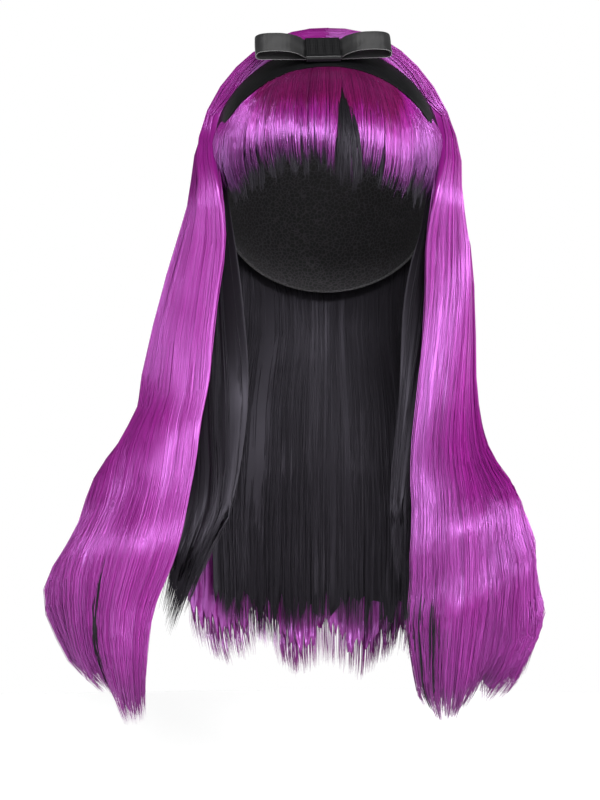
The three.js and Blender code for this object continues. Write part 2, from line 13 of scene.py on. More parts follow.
import bpy
import numpy as np
from mathutils import Euler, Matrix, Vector


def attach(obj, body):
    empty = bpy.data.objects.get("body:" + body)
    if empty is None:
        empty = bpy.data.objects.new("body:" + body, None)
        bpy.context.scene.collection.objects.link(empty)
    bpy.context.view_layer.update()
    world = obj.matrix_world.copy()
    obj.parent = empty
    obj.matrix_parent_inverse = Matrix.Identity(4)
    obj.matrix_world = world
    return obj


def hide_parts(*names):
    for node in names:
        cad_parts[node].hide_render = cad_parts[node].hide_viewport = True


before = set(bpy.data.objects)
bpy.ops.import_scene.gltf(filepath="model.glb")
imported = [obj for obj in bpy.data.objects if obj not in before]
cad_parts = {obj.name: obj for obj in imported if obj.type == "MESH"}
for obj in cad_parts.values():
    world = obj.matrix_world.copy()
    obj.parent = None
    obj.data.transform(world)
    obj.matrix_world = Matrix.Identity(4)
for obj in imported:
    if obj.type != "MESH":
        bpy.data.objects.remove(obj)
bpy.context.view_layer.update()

MM = 0.001
TONE_MAP = "OFBake"  # map that holds each strand's tone and the place along it

# Head and cap
HEAD = np.array([76.0, 97.0, 98.0])
CENTRE = np.array([0.0, 0.0, -98.0])
CAP_WALL = 1.5
RIM_FRONT = (-88.0, -52.0)
RIM_NAPE = (71.0, -165.0)

# Hair. Depths are over the head
SEAT_DEPTH = CAP_WALL + 1.1
UNDER_DEPTH = 7.0
OVER_DEPTH = UNDER_DEPTH + 1.6
UNDER_TOP = 0.62  # height on a head of radius 1 below which the black lies under the purple
UNDER_FADE = 0.2
CAP_CLEARANCE = 1.4
CAP_END = -150.0
CAP_FADE = 30.0
TIP_THICKNESS = 2.4
TIP_ROW_GAP = 12.0
EDGE_SHARE = 0.4
EDGE_ROOTS = -0.6  # place of the roots on the scale from 0, where the edges start to thin, to 1 at ear level
GROOVE_FULL = 12.0
CROWN_STEPS = 9
ROOT_SINK = 2.0
ROOT_SINK_SHARES = np.array([1.0, 0.45, 0.1])
ROOT_LIFT = 0.3
WAVE_LEAD = 70.0
WAVE_FADE = 60.0
TIP_CURL = 15.0
CURL_RUN = 48.0
CURL_SIDEWAYS = 0.4
CURL_RISE = 0.4
PART_CROSSING = 1.6

# Headband and bow
BAND_WIDTH = 25.0
BAND_THICKNESS = 2.0
BAND_LEAN = 37.0
BAND_REACH = 78.0
BAND_SHOWN = 50.0
BAND_FADE = 8.0
BAND_DEPTH_TOP = 20.0
BAND_DEPTH_END = 12.0
BAND_RADIUS = 105.0
BAND_GRIP = 1.0  # how far past its edges the band still holds the hair down
BAND_RISE = 1.1  # how steeply the hair rises beyond that
SHEET_SLACK, LEAST_SLACK, FRINGE_SLACK = 1.6, 0.4, 1.2
RIBBON_WIDTH = 25.0
RIBBON_THICKNESS = 0.45
KNOT_WIDTH = 24.3
BOW_TILT = 2.0
BOW_OFFSET = -3.5
FIT_GAP = 0.35

# Columns: front turn, front drop, back turn, back drop in degrees, then depth over the head
SIDE_CROWN = [
    (0.6, 28, 179.4, 15, 26),
    (51, 39, 150, 40, 26),
    (70, 59, 135, 62, 25),
    (54, 90, 125, 90, 24),
]
BACK_CROWN = [
    (184, 16, 176, 16, 26),
    (211, 40, 149, 40, 25),
    (226, 62, 134, 62, 23),
    (236, 90, 124, 90, 21),
]
SIDE_UNDER_CROWN = [(66, 66, 121, 68, UNDER_DEPTH), (61, 90, 119, 90, UNDER_DEPTH)]
BACK_UNDER_CROWN = [(234, 70, 126, 70, UNDER_DEPTH), (237, 90, 123, 90, UNDER_DEPTH)]

# Columns: z, front x, front y, middle x, middle y, back x, back y, thickness
LEFT_LENGTHS = [
    (-135, 78, -68, 110, -8, 90, 55, 16),
    (-175, 82, -66, 121, -18, 98, 42, 17),
    (-250, 89, -76, 137, -42, 120, 8, 19),
    (-320, 97, -96, 160, -88, 168, -46, 22),
    (-360, 106, -106, 174, -100, 187, -56, 23),
    (-400, 121, -110, 180, -104, 201, -62, 23),
    (-440, 126, -106, 167, -100, 180, -66, 18),
    (-490, 128, -94, 150, -90, 152, -70, 10),
]
RIGHT_LENGTHS = [
    (-135, 75, -68, 107, -8, 88, 55, 16),
    (-175, 73, -66, 108, -24, 92, 34, 17),
    (-250, 63, -78, 104, -60, 101, -8, 19),
    (-285, 58, -88, 105, -83, 115, -34, 21),
    (-320, 56, -98, 115, -106, 143, -58, 22),
    (-360, 55, -106, 119, -116, 153, -62, 24),
    (-400, 52, -113, 119, -120, 159, -64, 24),
    (-440, 56, -112, 111, -114, 148, -68, 20),
    (-485, 70, -96, 98, -96, 126, -76, 10),
]
BACK_LENGTHS = [
    (-175, -88, 60, 0, 112, 88, 60, 13),
    (-250, -98, 66, 0, 106, 98, 66, 14),
    (-320, -106, 70, 0, 108, 106, 70, 15),
    (-400, -110, 72, 0, 113, 110, 72, 14),
    (-470, -102, 72, 0, 106, 102, 72, 8),
]
LEFT_UNDER_LENGTHS = [
    (-175, 62, -44, 86, -5, 72, 38, 7),
    (-250, 55, -42, 88, -30, 86, 4, 8),
    (-320, 66, -70, 86, -67, 106, -54, 8),
    (-360, 85, -80, 98, -77, 112, -70, 7),
    (-420, 108, -82, 116, -79, 124, -74, 5),
]
RIGHT_UNDER_LENGTHS = [
    (-175, 56, -44, 84, -5, 72, 38, 7),
    (-250, 50, -50, 72, -40, 84, -6, 8),
    (-320, 44, -73, 62, -70, 82, -62, 8),
    (-400, 47, -82, 58, -80, 72, -76, 6),
]
BACK_UNDER_LENGTHS = [
    (-175, -74, 50, 0, 96, 74, 50, 7),
    (-250, -84, 55, 0, 89, 84, 55, 8),
    (-320, -90, 58, 0, 90, 90, 58, 8),
    (-400, -90, 60, 0, 95, 90, 60, 8),
    (-450, -82, 62, 0, 93, 82, 62, 6),
]

# Columns: across, height of the tips there
LEFT_TIPS = [
    (0, -466), (0.1, -476), (0.24, -474), (0.34, -455), (0.52, -452), (0.67, -442), (0.86, -444), (1, -432),
]
RIGHT_TIPS = [
    (0, -462), (0.12, -473), (0.32, -472), (0.46, -460), (0.54, -453), (0.7, -460), (0.86, -456), (1, -440),
]
BACK_TIPS = [
    (0, -430), (0.12, -448), (0.26, -440), (0.38, -460), (0.5, -448),
    (0.62, -462), (0.76, -442), (0.88, -450), (1, -430),
]
LEFT_UNDER_TIPS = [(0, -402), (0.5, -414), (1, -404)]
RIGHT_UNDER_TIPS = [(0, -380), (0.5, -392), (1, -384)]
BACK_UNDER_TIPS = [(0, -418), (0.25, -436), (0.5, -428), (0.75, -438), (1, -418)]

# Fringe
FRINGE_TUCK = 3.0
FRINGE_HALF_SPAN = 52.0
FRINGE_HALF_TURN = 62.0
FRINGE_STEPS = 16
FRINGE_ROOT_LIFT = 0.2
FRINGE_FAN = 0.45
FRINGE_CUT = 0.5  # degrees that a tip rises for each millimetre it is cut by
# Columns: along, rise over the underside of the band, thickness
FRINGE_ROWS = [
    (0, -0.8, 5), (0.16, -0.8, 5), (0.24, 2.5, 8), (0.55, 1, 8), (0.78, -2.4, 6), (1, -9, 3),
]
STREAK_ROWS = [
    (0, -5, 5), (0.16, -5, 5), (0.34, -2.4, 8), (0.5, 0.4, 8), (0.7, 0.2, 7), (0.85, -2.6, 6), (1, -6, 3),
]
FRINGE_UNDER_ROWS = [(0.4, -8.6, 4.4), (0.7, -9.6, 4), (1, -10.8, 2.4)]
# Columns: across, drop of the tips there in degrees
FRINGE_TIPS = [(0, 94), (0.16, 92), (0.3, 85), (0.45, 83), (0.56, 88), (0.75, 92), (1, 95)]
FRINGE_UNDER_TIPS = [
    (0, 98), (0.14, 97), (0.28, 92), (0.42, 87), (0.54, 94), (0.72, 92), (0.86, 98), (1, 99),
]
STREAK_TIPS = [(0.5, 93), (0.65, 95)]
STREAK_LEFT, STREAK_RIGHT = 0.524, 0.576


# Shapes of the hair

def unit(v):
    return v / np.linalg.norm(v, axis=-1, keepdims=True)


def smoothstep(x):
    x = np.clip(x, 0, 1)
    return x * x * (3 - 2 * x)


def eased(table, at):
    """Columns of a short table at a place in its first column, eased between its rows."""
    rows = np.array(table, float)
    i = int(np.clip(np.searchsorted(rows[:, 0], at) - 1, 0, len(rows) - 2))
    share = smoothstep((at - rows[i, 0]) / (rows[i + 1, 0] - rows[i, 0]))
    return rows[i, 1:] + (rows[i + 1, 1:] - rows[i, 1:]) * share


def direction(turn, drop):
    turn, drop = np.radians(turn), np.radians(drop)
    return np.stack([np.sin(drop) * np.sin(turn), -np.sin(drop) * np.cos(turn), np.cos(drop)], -1)


def head_normal(way):
    return unit(way / HEAD)


def over_head(way, depth):
    return way * HEAD + CENTRE + head_normal(way) * np.asarray(depth)[..., None]


def smooth_curve(points, per=6):
    """Points on a smooth curve through points, per to each stretch between two of them."""
    p = np.vstack([2 * points[0] - points[1], points, 2 * points[-1] - points[-2]])
    p0, p1, p2, p3 = p[:-3], p[1:-2], p[2:-1], p[3:]
    gap = [
        np.maximum(np.linalg.norm(b - a, axis=1), 1e-6)[:, None] ** 0.5
        for a, b in ((p0, p1), (p1, p2), (p2, p3))
    ]
    m1 = ((p1 - p0) / gap[0] - (p2 - p0) / (gap[0] + gap[1]) + (p2 - p1) / gap[1]) * gap[1]
    m2 = ((p2 - p1) / gap[1] - (p3 - p1) / (gap[1] + gap[2]) + (p3 - p2) / gap[2]) * gap[1]
    u = (np.arange(per) / per)[None, :, None]
    body = (
        (2 * u**3 - 3 * u**2 + 1) * p1[:, None]
        + (u**3 - 2 * u**2 + u) * m1[:, None]
        + (3 * u**2 - 2 * u**3) * p2[:, None]
        + (u**3 - u**2) * m2[:, None]
    )
    return np.vstack([body.reshape(-1, points.shape[1]), points[-1]])


def spaced(points, count, spacing):
    """count points along a line of points. spacing gives how close they are by place along it."""
    run = np.concatenate([[0], np.cumsum(np.linalg.norm(np.diff(points, axis=0), axis=1))])
    fine = np.linspace(0, 1, 200)
    share = np.cumsum(np.interp(fine, *np.array(spacing, float).T))
    places = np.interp(np.linspace(share[0], share[-1], count), share, fine) * run[-1]
    return np.stack([np.interp(places, run, points[:, k]) for k in range(points.shape[1])], -1)


def head_depth(points):
    """Directions from the head's middle to points, outward directions there, and heights over the head."""
    way = unit((points - CENTRE) / HEAD)
    normal = head_normal(way)
    return way, normal, ((points - CENTRE - way * HEAD) * normal).sum(1)


def crown_places(sheet, across):
    """Points, outward directions and thicknesses from the roots to ear level."""
    rows = np.array(sheet.crown, float)
    ways = unit(
        (1 - across) * direction(rows[:, 0], rows[:, 1]) + across * direction(rows[:, 2], rows[:, 3])
    )
    ways = unit(smooth_curve(ways, CROWN_STEPS // (len(rows) - 1)))
    ways[:, 0] *= sheet.side
    depth = np.interp(np.linspace(0, 1, len(ways)), np.linspace(0, 1, len(rows)), rows[:, 4])
    if sheet.over_black:
        seat = SEAT_DEPTH + (OVER_DEPTH - SEAT_DEPTH) * smoothstep((UNDER_TOP - ways[:, 2]) / UNDER_FADE)
    else:
        seat = np.full(len(ways), SEAT_DEPTH)
    return over_head(ways, depth), head_normal(ways), depth - seat


def length_places(sheet, across, end):
    """The same from below the ears down to a height."""
    rows = np.array(sheet.lengths, float)
    kept = rows[rows[:, 0] > end + TIP_ROW_GAP]
    above, below = kept[-1], rows[len(kept)]
    tip = above + (below - above) * (end - above[0]) / (below[0] - above[0])
    tip[7] = TIP_THICKNESS
    rows = np.vstack([kept, tip])
    weight = np.array([
        (1 - across) * (1 - 2 * across), 4 * across * (1 - across), across * (2 * across - 1),
    ])
    slope = np.array([4 * across - 3, 4 - 8 * across, 4 * across - 1])
    x, y = rows[:, [1, 3, 5]] @ weight, rows[:, [2, 4, 6]] @ weight
    dx, dy = rows[:, [1, 3, 5]] @ slope, rows[:, [2, 4, 6]] @ slope
    out = unit(np.stack([dy * sheet.side, -dx, 0 * dx], -1)) * sheet.facing
    return np.stack([x * sheet.side, y, rows[:, 0]], -1), out, rows[:, 7]


def sheet_strand(sheet, across, inner, lift, shorter, count):
    """Path of a strand in a sheet. lift is how far out of its place it lies, and shorter how much its tip is
    cut."""
    end = float(eased(sheet.tips, min(max(across, 0), 1))[0]) + shorter - 0.5 * sheet.curl
    crown, lengths = crown_places(sheet, across), length_places(sheet, across, end)
    point, out = np.vstack([crown[0], lengths[0]]), np.vstack([crown[1], lengths[1]])
    point[0, 0] -= sheet.crossing
    fullness = EDGE_SHARE + (1 - EDGE_SHARE) * math.sqrt(max(1 - (2 * across - 1) ** 2, 0))
    thinned = 1 + (fullness - 1) * smoothstep(np.linspace(EDGE_ROOTS, 1, len(crown[2])))
    wall = np.concatenate([crown[2] * thinned, lengths[2] * fullness])
    thick = np.concatenate([crown[2], lengths[2]])
    groove = 0.5 + 0.5 * math.cos(2 * math.pi * sheet.locks * across)
    dip = sheet.groove * groove * np.linspace(0, 1, len(point)) * np.minimum(1, thick / GROOVE_FULL)
    sink = np.zeros(len(point))
    sink[:len(ROOT_SINK_SHARES)] = sheet.root_sink * ROOT_SINK_SHARES
    shift = lift * np.linspace(ROOT_LIFT, 1, len(point)) - (1 - inner) * dip - inner * wall - sink
    path, out = smooth_curve(point + out * shift[:, None]), unit(smooth_curve(out))
    bright, rise, length, height = sheet.wave
    swing = height * smoothstep((bright + WAVE_LEAD - path[:, 2]) / WAVE_FADE)
    swing = swing * np.sin(2 * math.pi * (bright + rise * across - path[:, 2]) / length)
    left = np.append(np.linalg.norm(np.diff(path, axis=0), axis=1)[::-1].cumsum()[::-1], 0)
    hook = np.maximum(1 - left / CURL_RUN, 0) ** 2
    path = path + out * swing[:, None] - out * (CURL_SIDEWAYS, 1, 0) * (sheet.curl * hook)[:, None]
    path[:, 2] += CURL_RISE * sheet.curl * hook**2
    _, normal, depth = head_depth(path)
    on_cap = smoothstep((path[:, 2] - CAP_END) / CAP_FADE)
    path = path + normal * (np.maximum(SEAT_DEPTH + CAP_CLEARANCE - depth, 0) * on_cap)[:, None]
    return spaced(under_band(path, max(SHEET_SLACK - lift, LEAST_SLACK)), count, sheet.spacing)


LEAN = math.radians(BAND_LEAN)
BAND_FORWARD = np.array([0, -math.cos(LEAN), -math.sin(LEAN)])
BAND_UPWARD = np.array([0, -math.sin(LEAN), math.cos(LEAN)])


def band_direction(over, ahead):
    """Direction on the band's arch: over is the angle from its top, ahead the distance before its middle."""
    over = np.radians(over)
    arch = np.stack([np.sin(over), np.cos(over) * BAND_UPWARD[1], np.cos(over) * BAND_UPWARD[2]], -1)
    return unit(arch + BAND_FORWARD * np.asarray(ahead)[..., None] / BAND_RADIUS)


def band_depth(over):
    return BAND_DEPTH_TOP + (BAND_DEPTH_END - BAND_DEPTH_TOP) * (np.asarray(over) / BAND_REACH) ** 2


def under_band(points, slack):
    """Presses points of a strand under the headband by a slack, and lets them rise again away from its edges.
    Hair falls over the ends of the band."""
    way, normal, depth = head_depth(points)
    ahead = way @ BAND_FORWARD
    ahead = BAND_RADIUS * ahead / np.sqrt(np.maximum(1 - ahead**2, 1e-6))
    over = np.degrees(np.arctan2(way[:, 0], way @ BAND_UPWARD))
    beyond = np.maximum(np.abs(ahead) - BAND_WIDTH / 2 - BAND_GRIP, 0)
    excess = np.maximum(depth - (band_depth(over) - slack + BAND_RISE * beyond), 0)
    held = 1 - smoothstep((np.abs(over) - BAND_SHOWN) / BAND_FADE)
    return points - normal * (excess * held)[:, None]


def fringe_strand(fringe, across, inner, lift, shorter, count):
    """Path of a strand in a layer of the fringe, from under the band to the brow. Its root is drawn to the
    middle."""
    over = (2 * across - 1) * FRINGE_HALF_SPAN
    drop = float(eased(fringe.tips, across)[0]) - FRINGE_CUT * shorter
    tip = direction((2 * across - 1) * FRINGE_HALF_TURN, drop)
    root = band_direction(over, FRINGE_TUCK - BAND_WIDTH / 2)
    reach = np.linspace(fringe.rows[0][0], 1, FRINGE_STEPS)
    drawn = FRINGE_FAN * (1 - reach) ** 2
    pulled = band_direction((1 - FRINGE_FAN) * over, FRINGE_TUCK - BAND_WIDTH / 2) - root
    ways = unit(root + (tip - root) * reach[:, None] + pulled * ((1 - reach) ** 2)[:, None])
    rise, thickness = np.array([eased(fringe.rows, r) for r in reach]).T
    depth = band_depth(over * (1 - drawn)) + rise - inner * thickness
    depth = depth + lift * np.linspace(FRINGE_ROOT_LIFT, 1, len(reach))
    return spaced(under_band(over_head(ways, depth), FRINGE_SLACK), count, EVEN)


def sheet(crown, lengths, tips, over_black, side, facing, locks, groove, wave, spacing):
    """A sheet of hair. wave is that of its lengths: the height at the front edge where they slope forward
    most, how much higher that is at the back edge, wave length and wave height."""
    return SimpleNamespace(
        crown=crown, lengths=lengths, tips=tips, over_black=over_black, side=side, facing=facing,
        locks=locks, groove=groove, wave=wave, spacing=spacing,
        root_sink=ROOT_SINK * over_black, curl=TIP_CURL * over_black,
        crossing=PART_CROSSING * side * (over_black and facing > 0),
    )


# Columns: place along a strand, how close its points are
EVEN = [(0, 1), (1, 1)]
LONG = [(0, 2.4), (0.1, 2.4), (0.16, 1.7), (0.36, 1.7), (0.42, 0.9), (0.55, 0.9), (0.62, 2.0), (1, 2.0)]

LEFT = sheet(SIDE_CROWN, LEFT_LENGTHS, LEFT_TIPS, True, -1, 1, 3, 7, (-248, -40, 76, 3.2), LONG)
RIGHT = sheet(SIDE_CROWN, RIGHT_LENGTHS, RIGHT_TIPS, True, 1, 1, 2, 7, (-343, 65, 53, 1.9), LONG)
BACK = sheet(BACK_CROWN, BACK_LENGTHS, BACK_TIPS, True, 1, -1, 4, 5, (-230, 0, 90, 2.0), LONG)
LEFT_UNDER = sheet(
    SIDE_UNDER_CROWN, LEFT_UNDER_LENGTHS, LEFT_UNDER_TIPS, False, -1, 1, 2, 2, (-250, 0, 90, 0.8), EVEN
)
RIGHT_UNDER = sheet(
    SIDE_UNDER_CROWN, RIGHT_UNDER_LENGTHS, RIGHT_UNDER_TIPS, False, 1, 1, 2, 2, (-250, 0, 90, 0.8), EVEN
)
BACK_UNDER = sheet(
    BACK_UNDER_CROWN, BACK_UNDER_LENGTHS, BACK_UNDER_TIPS, False, 1, -1, 4, 2, (-230, 0, 90, 1.0), EVEN
)
FRINGE = SimpleNamespace(rows=FRINGE_ROWS, tips=FRINGE_TIPS)
FRINGE_UNDER = SimpleNamespace(rows=FRINGE_UNDER_ROWS, tips=FRINGE_UNDER_TIPS)
STREAK = SimpleNamespace(rows=STREAK_ROWS, tips=STREAK_TIPS)


# Meshes and nodes

def link(name, data):
    obj = bpy.data.objects.new(name, data)
    bpy.context.scene.collection.objects.link(obj)
    return obj


def add(tree, kind, inputs=(), **settings):
    """Adds a node, with its settings, and sets or links its inputs. A node given as an input stands for its
    first output."""
    node = tree.nodes.new(kind)
    for key, value in settings.items():
        setattr(node, key, value)
    for key, value in dict(inputs).items():
        if isinstance(value, bpy.types.Node):
            value = value.outputs[0]
        if isinstance(value, bpy.types.NodeSocket):
            tree.links.new(value, node.inputs[key])
        else:
            node.inputs[key].default_value = value
    return node


def wall(outer, inner, tone=None, closed=False):
    """Closed wall between two grids of points in millimetres: its points, faces and tones. closed joins the
    last column to the first."""
    columns, rows = outer.shape[0], outer.shape[1]
    points = np.concatenate([outer.reshape(-1, 3), inner.reshape(-1, 3)])
    ident = np.arange(2 * columns * rows).reshape(2, columns, rows)
    if closed:
        ident = np.concatenate([ident, ident[:, :1]], axis=1)
    o, i = ident
    quads = [
        np.stack([o[:-1, :-1], o[:-1, 1:], o[1:, 1:], o[1:, :-1]], -1).reshape(-1, 4),
        np.stack([i[:-1, :-1], i[1:, :-1], i[1:, 1:], i[:-1, 1:]], -1).reshape(-1, 4),
        np.stack([o[:-1, 0], o[1:, 0], i[1:, 0], i[:-1, 0]], -1),
        np.stack([o[:-1, -1], i[:-1, -1], i[1:, -1], o[1:, -1]], -1),
    ]
    if not closed:
        quads.append(np.stack([o[0, :-1], i[0, :-1], i[0, 1:], o[0, 1:]], -1))
        quads.append(np.stack([o[-1, :-1], o[-1, 1:], i[-1, 1:], i[-1, :-1]], -1))
    quads = np.concatenate(quads)
    a, b, c, d = (points[quads[:, k]] for k in range(4))
    if np.einsum("ij,ij->", a, np.cross(b, c)) + np.einsum("ij,ij->", a, np.cross(c, d)) < 0:
        quads = quads[:, ::-1]
    tone = np.zeros((columns * rows, 2)) if tone is None else tone.reshape(-1, 2)
    return points, quads, np.concatenate([tone, tone])


def wall_mesh(name, walls, material=None):
    """One smooth mesh of closed walls, with their tones in a map."""
    first = np.cumsum([0] + [len(points) for points, _, _ in walls])
    mesh = bpy.data.meshes.new(name)
    mesh.from_pydata(
        (np.concatenate([w[0] for w in walls]) * MM).tolist(), [],
        np.concatenate([w[1] + k for w, k in zip(walls, first)]).tolist(),
    )
    mesh.shade_smooth()
    if material:
        mesh.set_sharp_from_angle(angle=math.radians(50))
        mesh.materials.append(material)
        return mesh
    layer = mesh.uv_layers.new(name=TONE_MAP)
    corner = np.empty(len(mesh.loops), int)
    mesh.loops.foreach_get("vertex_index", corner)
    tones = np.concatenate([w[2] for w in walls]).astype(np.float32)
    layer.data.foreach_set("uv", tones[corner].ravel())
    return mesh


def set_curve(node, points):
    """Shapes a Float Curve node by points, in order."""
    line = node.mapping.curves[0]
    while len(line.points) < len(points):
        line.points.new(0.5, 0.5)
    for spot, (x, y) in zip(line.points, points):
        spot.location = (x, y)
    node.mapping.update()
    return node


# Strands round a guide. Places beside it are in shares of Lift and Spread, curves run from root to tip
ASIDE_LEAST, ASIDE_MOST = (-0.1, -1, 0), (1, 1, 0)
STRAY_POWER, STRAY_GAIN, STRAY_LEAST = 12.0, 0.5, 0.8
OWN_TONE = 0.22
GIRTHS = (0.65, 1.3)
GATHER_CURVE = [(0, 0.3), (0.2, 0.6), (0.6, 1.0), (1, 0.9)]
TAPER_CURVE = [(0, 0.8), (0.55, 1.0), (0.92, 0.85), (1, 0.15)]
RUFFLE_SCALE = 14.0  # ruffles of about 70 mm
RUFFLE_APART = 37.0  # how unlike the ruffles of strands of unlike tones are
RUFFLE_ROOT = 0.15
STRAND_SIDES = 3


def strands_tree():
    """Strands in locks round guide lines: each guide is copied, spread, ruffled, cut to length and made a
    tapering fibre, and the fibres join the core that they lie on."""
    tree = bpy.data.node_groups.new("strands_round_guides", "GeometryNodeTree")
    for name, kind in [
        ("Guides", "Geometry"), ("Core", "Object"), ("Strands per guide", "Int"), ("Spread", "Float"),
        ("Lift", "Float"), ("Strand width", "Float"), ("Ruffle", "Float"), ("Tip cut", "Float"),
        ("Seed", "Int"), ("Fibre", "Material"),
    ]:
        tree.interface.new_socket(name, in_out="INPUT", socket_type="NodeSocket" + kind)
    tree.interface.new_socket("Hair", in_out="OUTPUT", socket_type="NodeSocketGeometry")
    given = add(tree, "NodeGroupInput").outputs

    lines = add(tree, "GeometryNodeMeshToCurve", {"Mesh": given["Guides"]})
    many = add(
        tree, "GeometryNodeDuplicateElements",
        {"Geometry": lines, "Amount": given["Strands per guide"]}, domain="SPLINE",
    )
    index = add(tree, "GeometryNodeInputIndex")
    lock = add(tree, "GeometryNodeInputNamedAttribute", {"Name": "lock"}, data_type="FLOAT")
    seeds = [add(tree, "ShaderNodeMath", {0: given["Seed"], 1: k}, operation="ADD") for k in range(5)]
    aside = add(
        tree, "FunctionNodeRandomValue", {0: ASIDE_LEAST, 1: ASIDE_MOST, 7: index, 8: seeds[0]},
        data_type="FLOAT_VECTOR",
    )
    own_tone, girth, cut, stray = (
        add(tree, "FunctionNodeRandomValue", {2: least, 3: most, 7: index, 8: seed}).outputs[1]
        for (least, most), seed in zip([(-OWN_TONE, OWN_TONE), GIRTHS, (0.0, 1.0), (0.0, 1.0)], seeds[1:])
    )
    stray = add(tree, "ShaderNodeMath", {0: stray, 1: STRAY_POWER}, operation="POWER")
    stray = add(tree, "ShaderNodeMath", {0: stray, 1: STRAY_GAIN, 2: STRAY_LEAST}, operation="MULTIPLY_ADD")
    aside = add(tree, "ShaderNodeVectorMath", {0: aside, "Scale": stray}, operation="SCALE")
    tone = add(tree, "ShaderNodeMath", {0: lock, 1: own_tone}, operation="ADD", use_clamp=True)
    cut = add(tree, "ShaderNodeMath", {0: cut, 1: given["Tip cut"]}, operation="MULTIPLY")
    keep = add(tree, "ShaderNodeMath", {0: 1.0, 1: cut}, operation="SUBTRACT")
    for name, value, kind in [
        ("aside", aside, "FLOAT_VECTOR"), ("tone", tone, "FLOAT"), ("girth", girth, "FLOAT"),
    ]:
        many = add(
            tree, "GeometryNodeStoreNamedAttribute", {"Geometry": many, "Name": name, "Value": value},
            data_type=kind, domain="CURVE",
        )
    trimmed = add(tree, "GeometryNodeTrimCurve", {0: many, 3: keep}, mode="FACTOR")
    place = add(tree, "GeometryNodeSplineParameter").outputs["Factor"]
    trimmed = add(
        tree, "GeometryNodeStoreNamedAttribute", {"Geometry": trimmed, "Name": "along", "Value": place},
        data_type="FLOAT", domain="POINT",
    )

    read = {
        name: add(tree, "GeometryNodeInputNamedAttribute", {"Name": name}, data_type=kind)
        for name, kind in [
            ("aside", "FLOAT_VECTOR"), ("tone", "FLOAT"), ("girth", "FLOAT"),
            ("along", "FLOAT"), ("start", "FLOAT"), ("out", "FLOAT_VECTOR"),
        ]
    }
    tangent = add(tree, "GeometryNodeInputTangent")
    sideways = add(tree, "ShaderNodeVectorMath", {0: tangent, 1: read["out"]}, operation="CROSS_PRODUCT")
    parts = add(tree, "ShaderNodeSeparateXYZ", {0: read["aside"]}).outputs
    high = add(tree, "ShaderNodeMath", {0: parts[0], 1: given["Lift"]}, operation="MULTIPLY")
    wide = add(tree, "ShaderNodeMath", {0: parts[1], 1: given["Spread"]}, operation="MULTIPLY")
    one = add(tree, "ShaderNodeVectorMath", {0: read["out"], "Scale": high}, operation="SCALE")
    two = add(tree, "ShaderNodeVectorMath", {0: sideways, "Scale": wide}, operation="SCALE")
    spread = add(tree, "ShaderNodeVectorMath", {0: one, 1: two}, operation="ADD")
    gather = set_curve(add(tree, "ShaderNodeFloatCurve", {"Value": read["along"]}), GATHER_CURVE)
    spread = add(tree, "ShaderNodeVectorMath", {0: spread, "Scale": gather}, operation="SCALE")
    turn = add(tree, "ShaderNodeMath", {0: read["tone"], 1: RUFFLE_APART}, operation="MULTIPLY")
    wave = add(
        tree, "ShaderNodeTexNoise", {"W": turn, "Scale": RUFFLE_SCALE, "Detail": 1.0}, noise_dimensions="4D",
    ).outputs["Color"]
    wave = add(tree, "ShaderNodeVectorMath", {0: wave, 1: (0.5, 0.5, 0.5)}, operation="SUBTRACT")
    amount = add(tree, "ShaderNodeMath", {0: read["along"], 1: RUFFLE_ROOT}, operation="ADD")
    amount = add(tree, "ShaderNodeMath", {0: amount, 1: given["Ruffle"]}, operation="MULTIPLY")
    wave = add(tree, "ShaderNodeVectorMath", {0: wave, "Scale": amount}, operation="SCALE")
    spread = add(tree, "ShaderNodeVectorMath", {0: spread, 1: wave}, operation="ADD")
    combed = add(tree, "GeometryNodeSetPosition", {"Geometry": trimmed, "Offset": spread})

    radius = set_curve(add(tree, "ShaderNodeFloatCurve", {"Value": read["along"]}), TAPER_CURVE)
    for factor in (read["girth"], given["Strand width"], 0.5):
        radius = add(tree, "ShaderNodeMath", {0: radius, 1: factor}, operation="MULTIPLY")
    section = add(tree, "GeometryNodeCurvePrimitiveCircle", {"Resolution": STRAND_SIDES, "Radius": 1.0})
    fibres = add(
        tree, "GeometryNodeCurveToMesh",
        {"Curve": combed, "Profile Curve": section, "Scale": radius, "Fill Caps": True},
    )
    fibres = add(tree, "GeometryNodeSetShadeSmooth", {"Geometry": fibres, "Shade Smooth": True})
    shown = add(tree, "ShaderNodeMapRange", {0: read["along"], 3: read["start"], 4: 1.0})
    pair = add(tree, "ShaderNodeCombineXYZ", {0: read["tone"], 1: shown})
    fibres = add(
        tree, "GeometryNodeStoreNamedAttribute", {"Geometry": fibres, "Name": TONE_MAP, "Value": pair},
        data_type="FLOAT2", domain="CORNER",
    )
    core = add(tree, "GeometryNodeObjectInfo", {"Object": given["Core"]}).outputs["Geometry"]
    both = add(tree, "GeometryNodeJoinGeometry")
    tree.links.new(core, both.inputs[0])
    tree.links.new(fibres.outputs[0], both.inputs[0])
    whole = add(tree, "GeometryNodeRealizeInstances", {"Geometry": both})
    covered = add(tree, "GeometryNodeSetMaterial", {"Geometry": whole, "Material": given["Fibre"]})
    add(tree, "NodeGroupOutput", {0: covered})
    return tree


STRANDS = strands_tree()
STRAND_INPUTS = {s.name: s.identifier for s in STRANDS.interface.items_tree if s.in_out == "INPUT"}


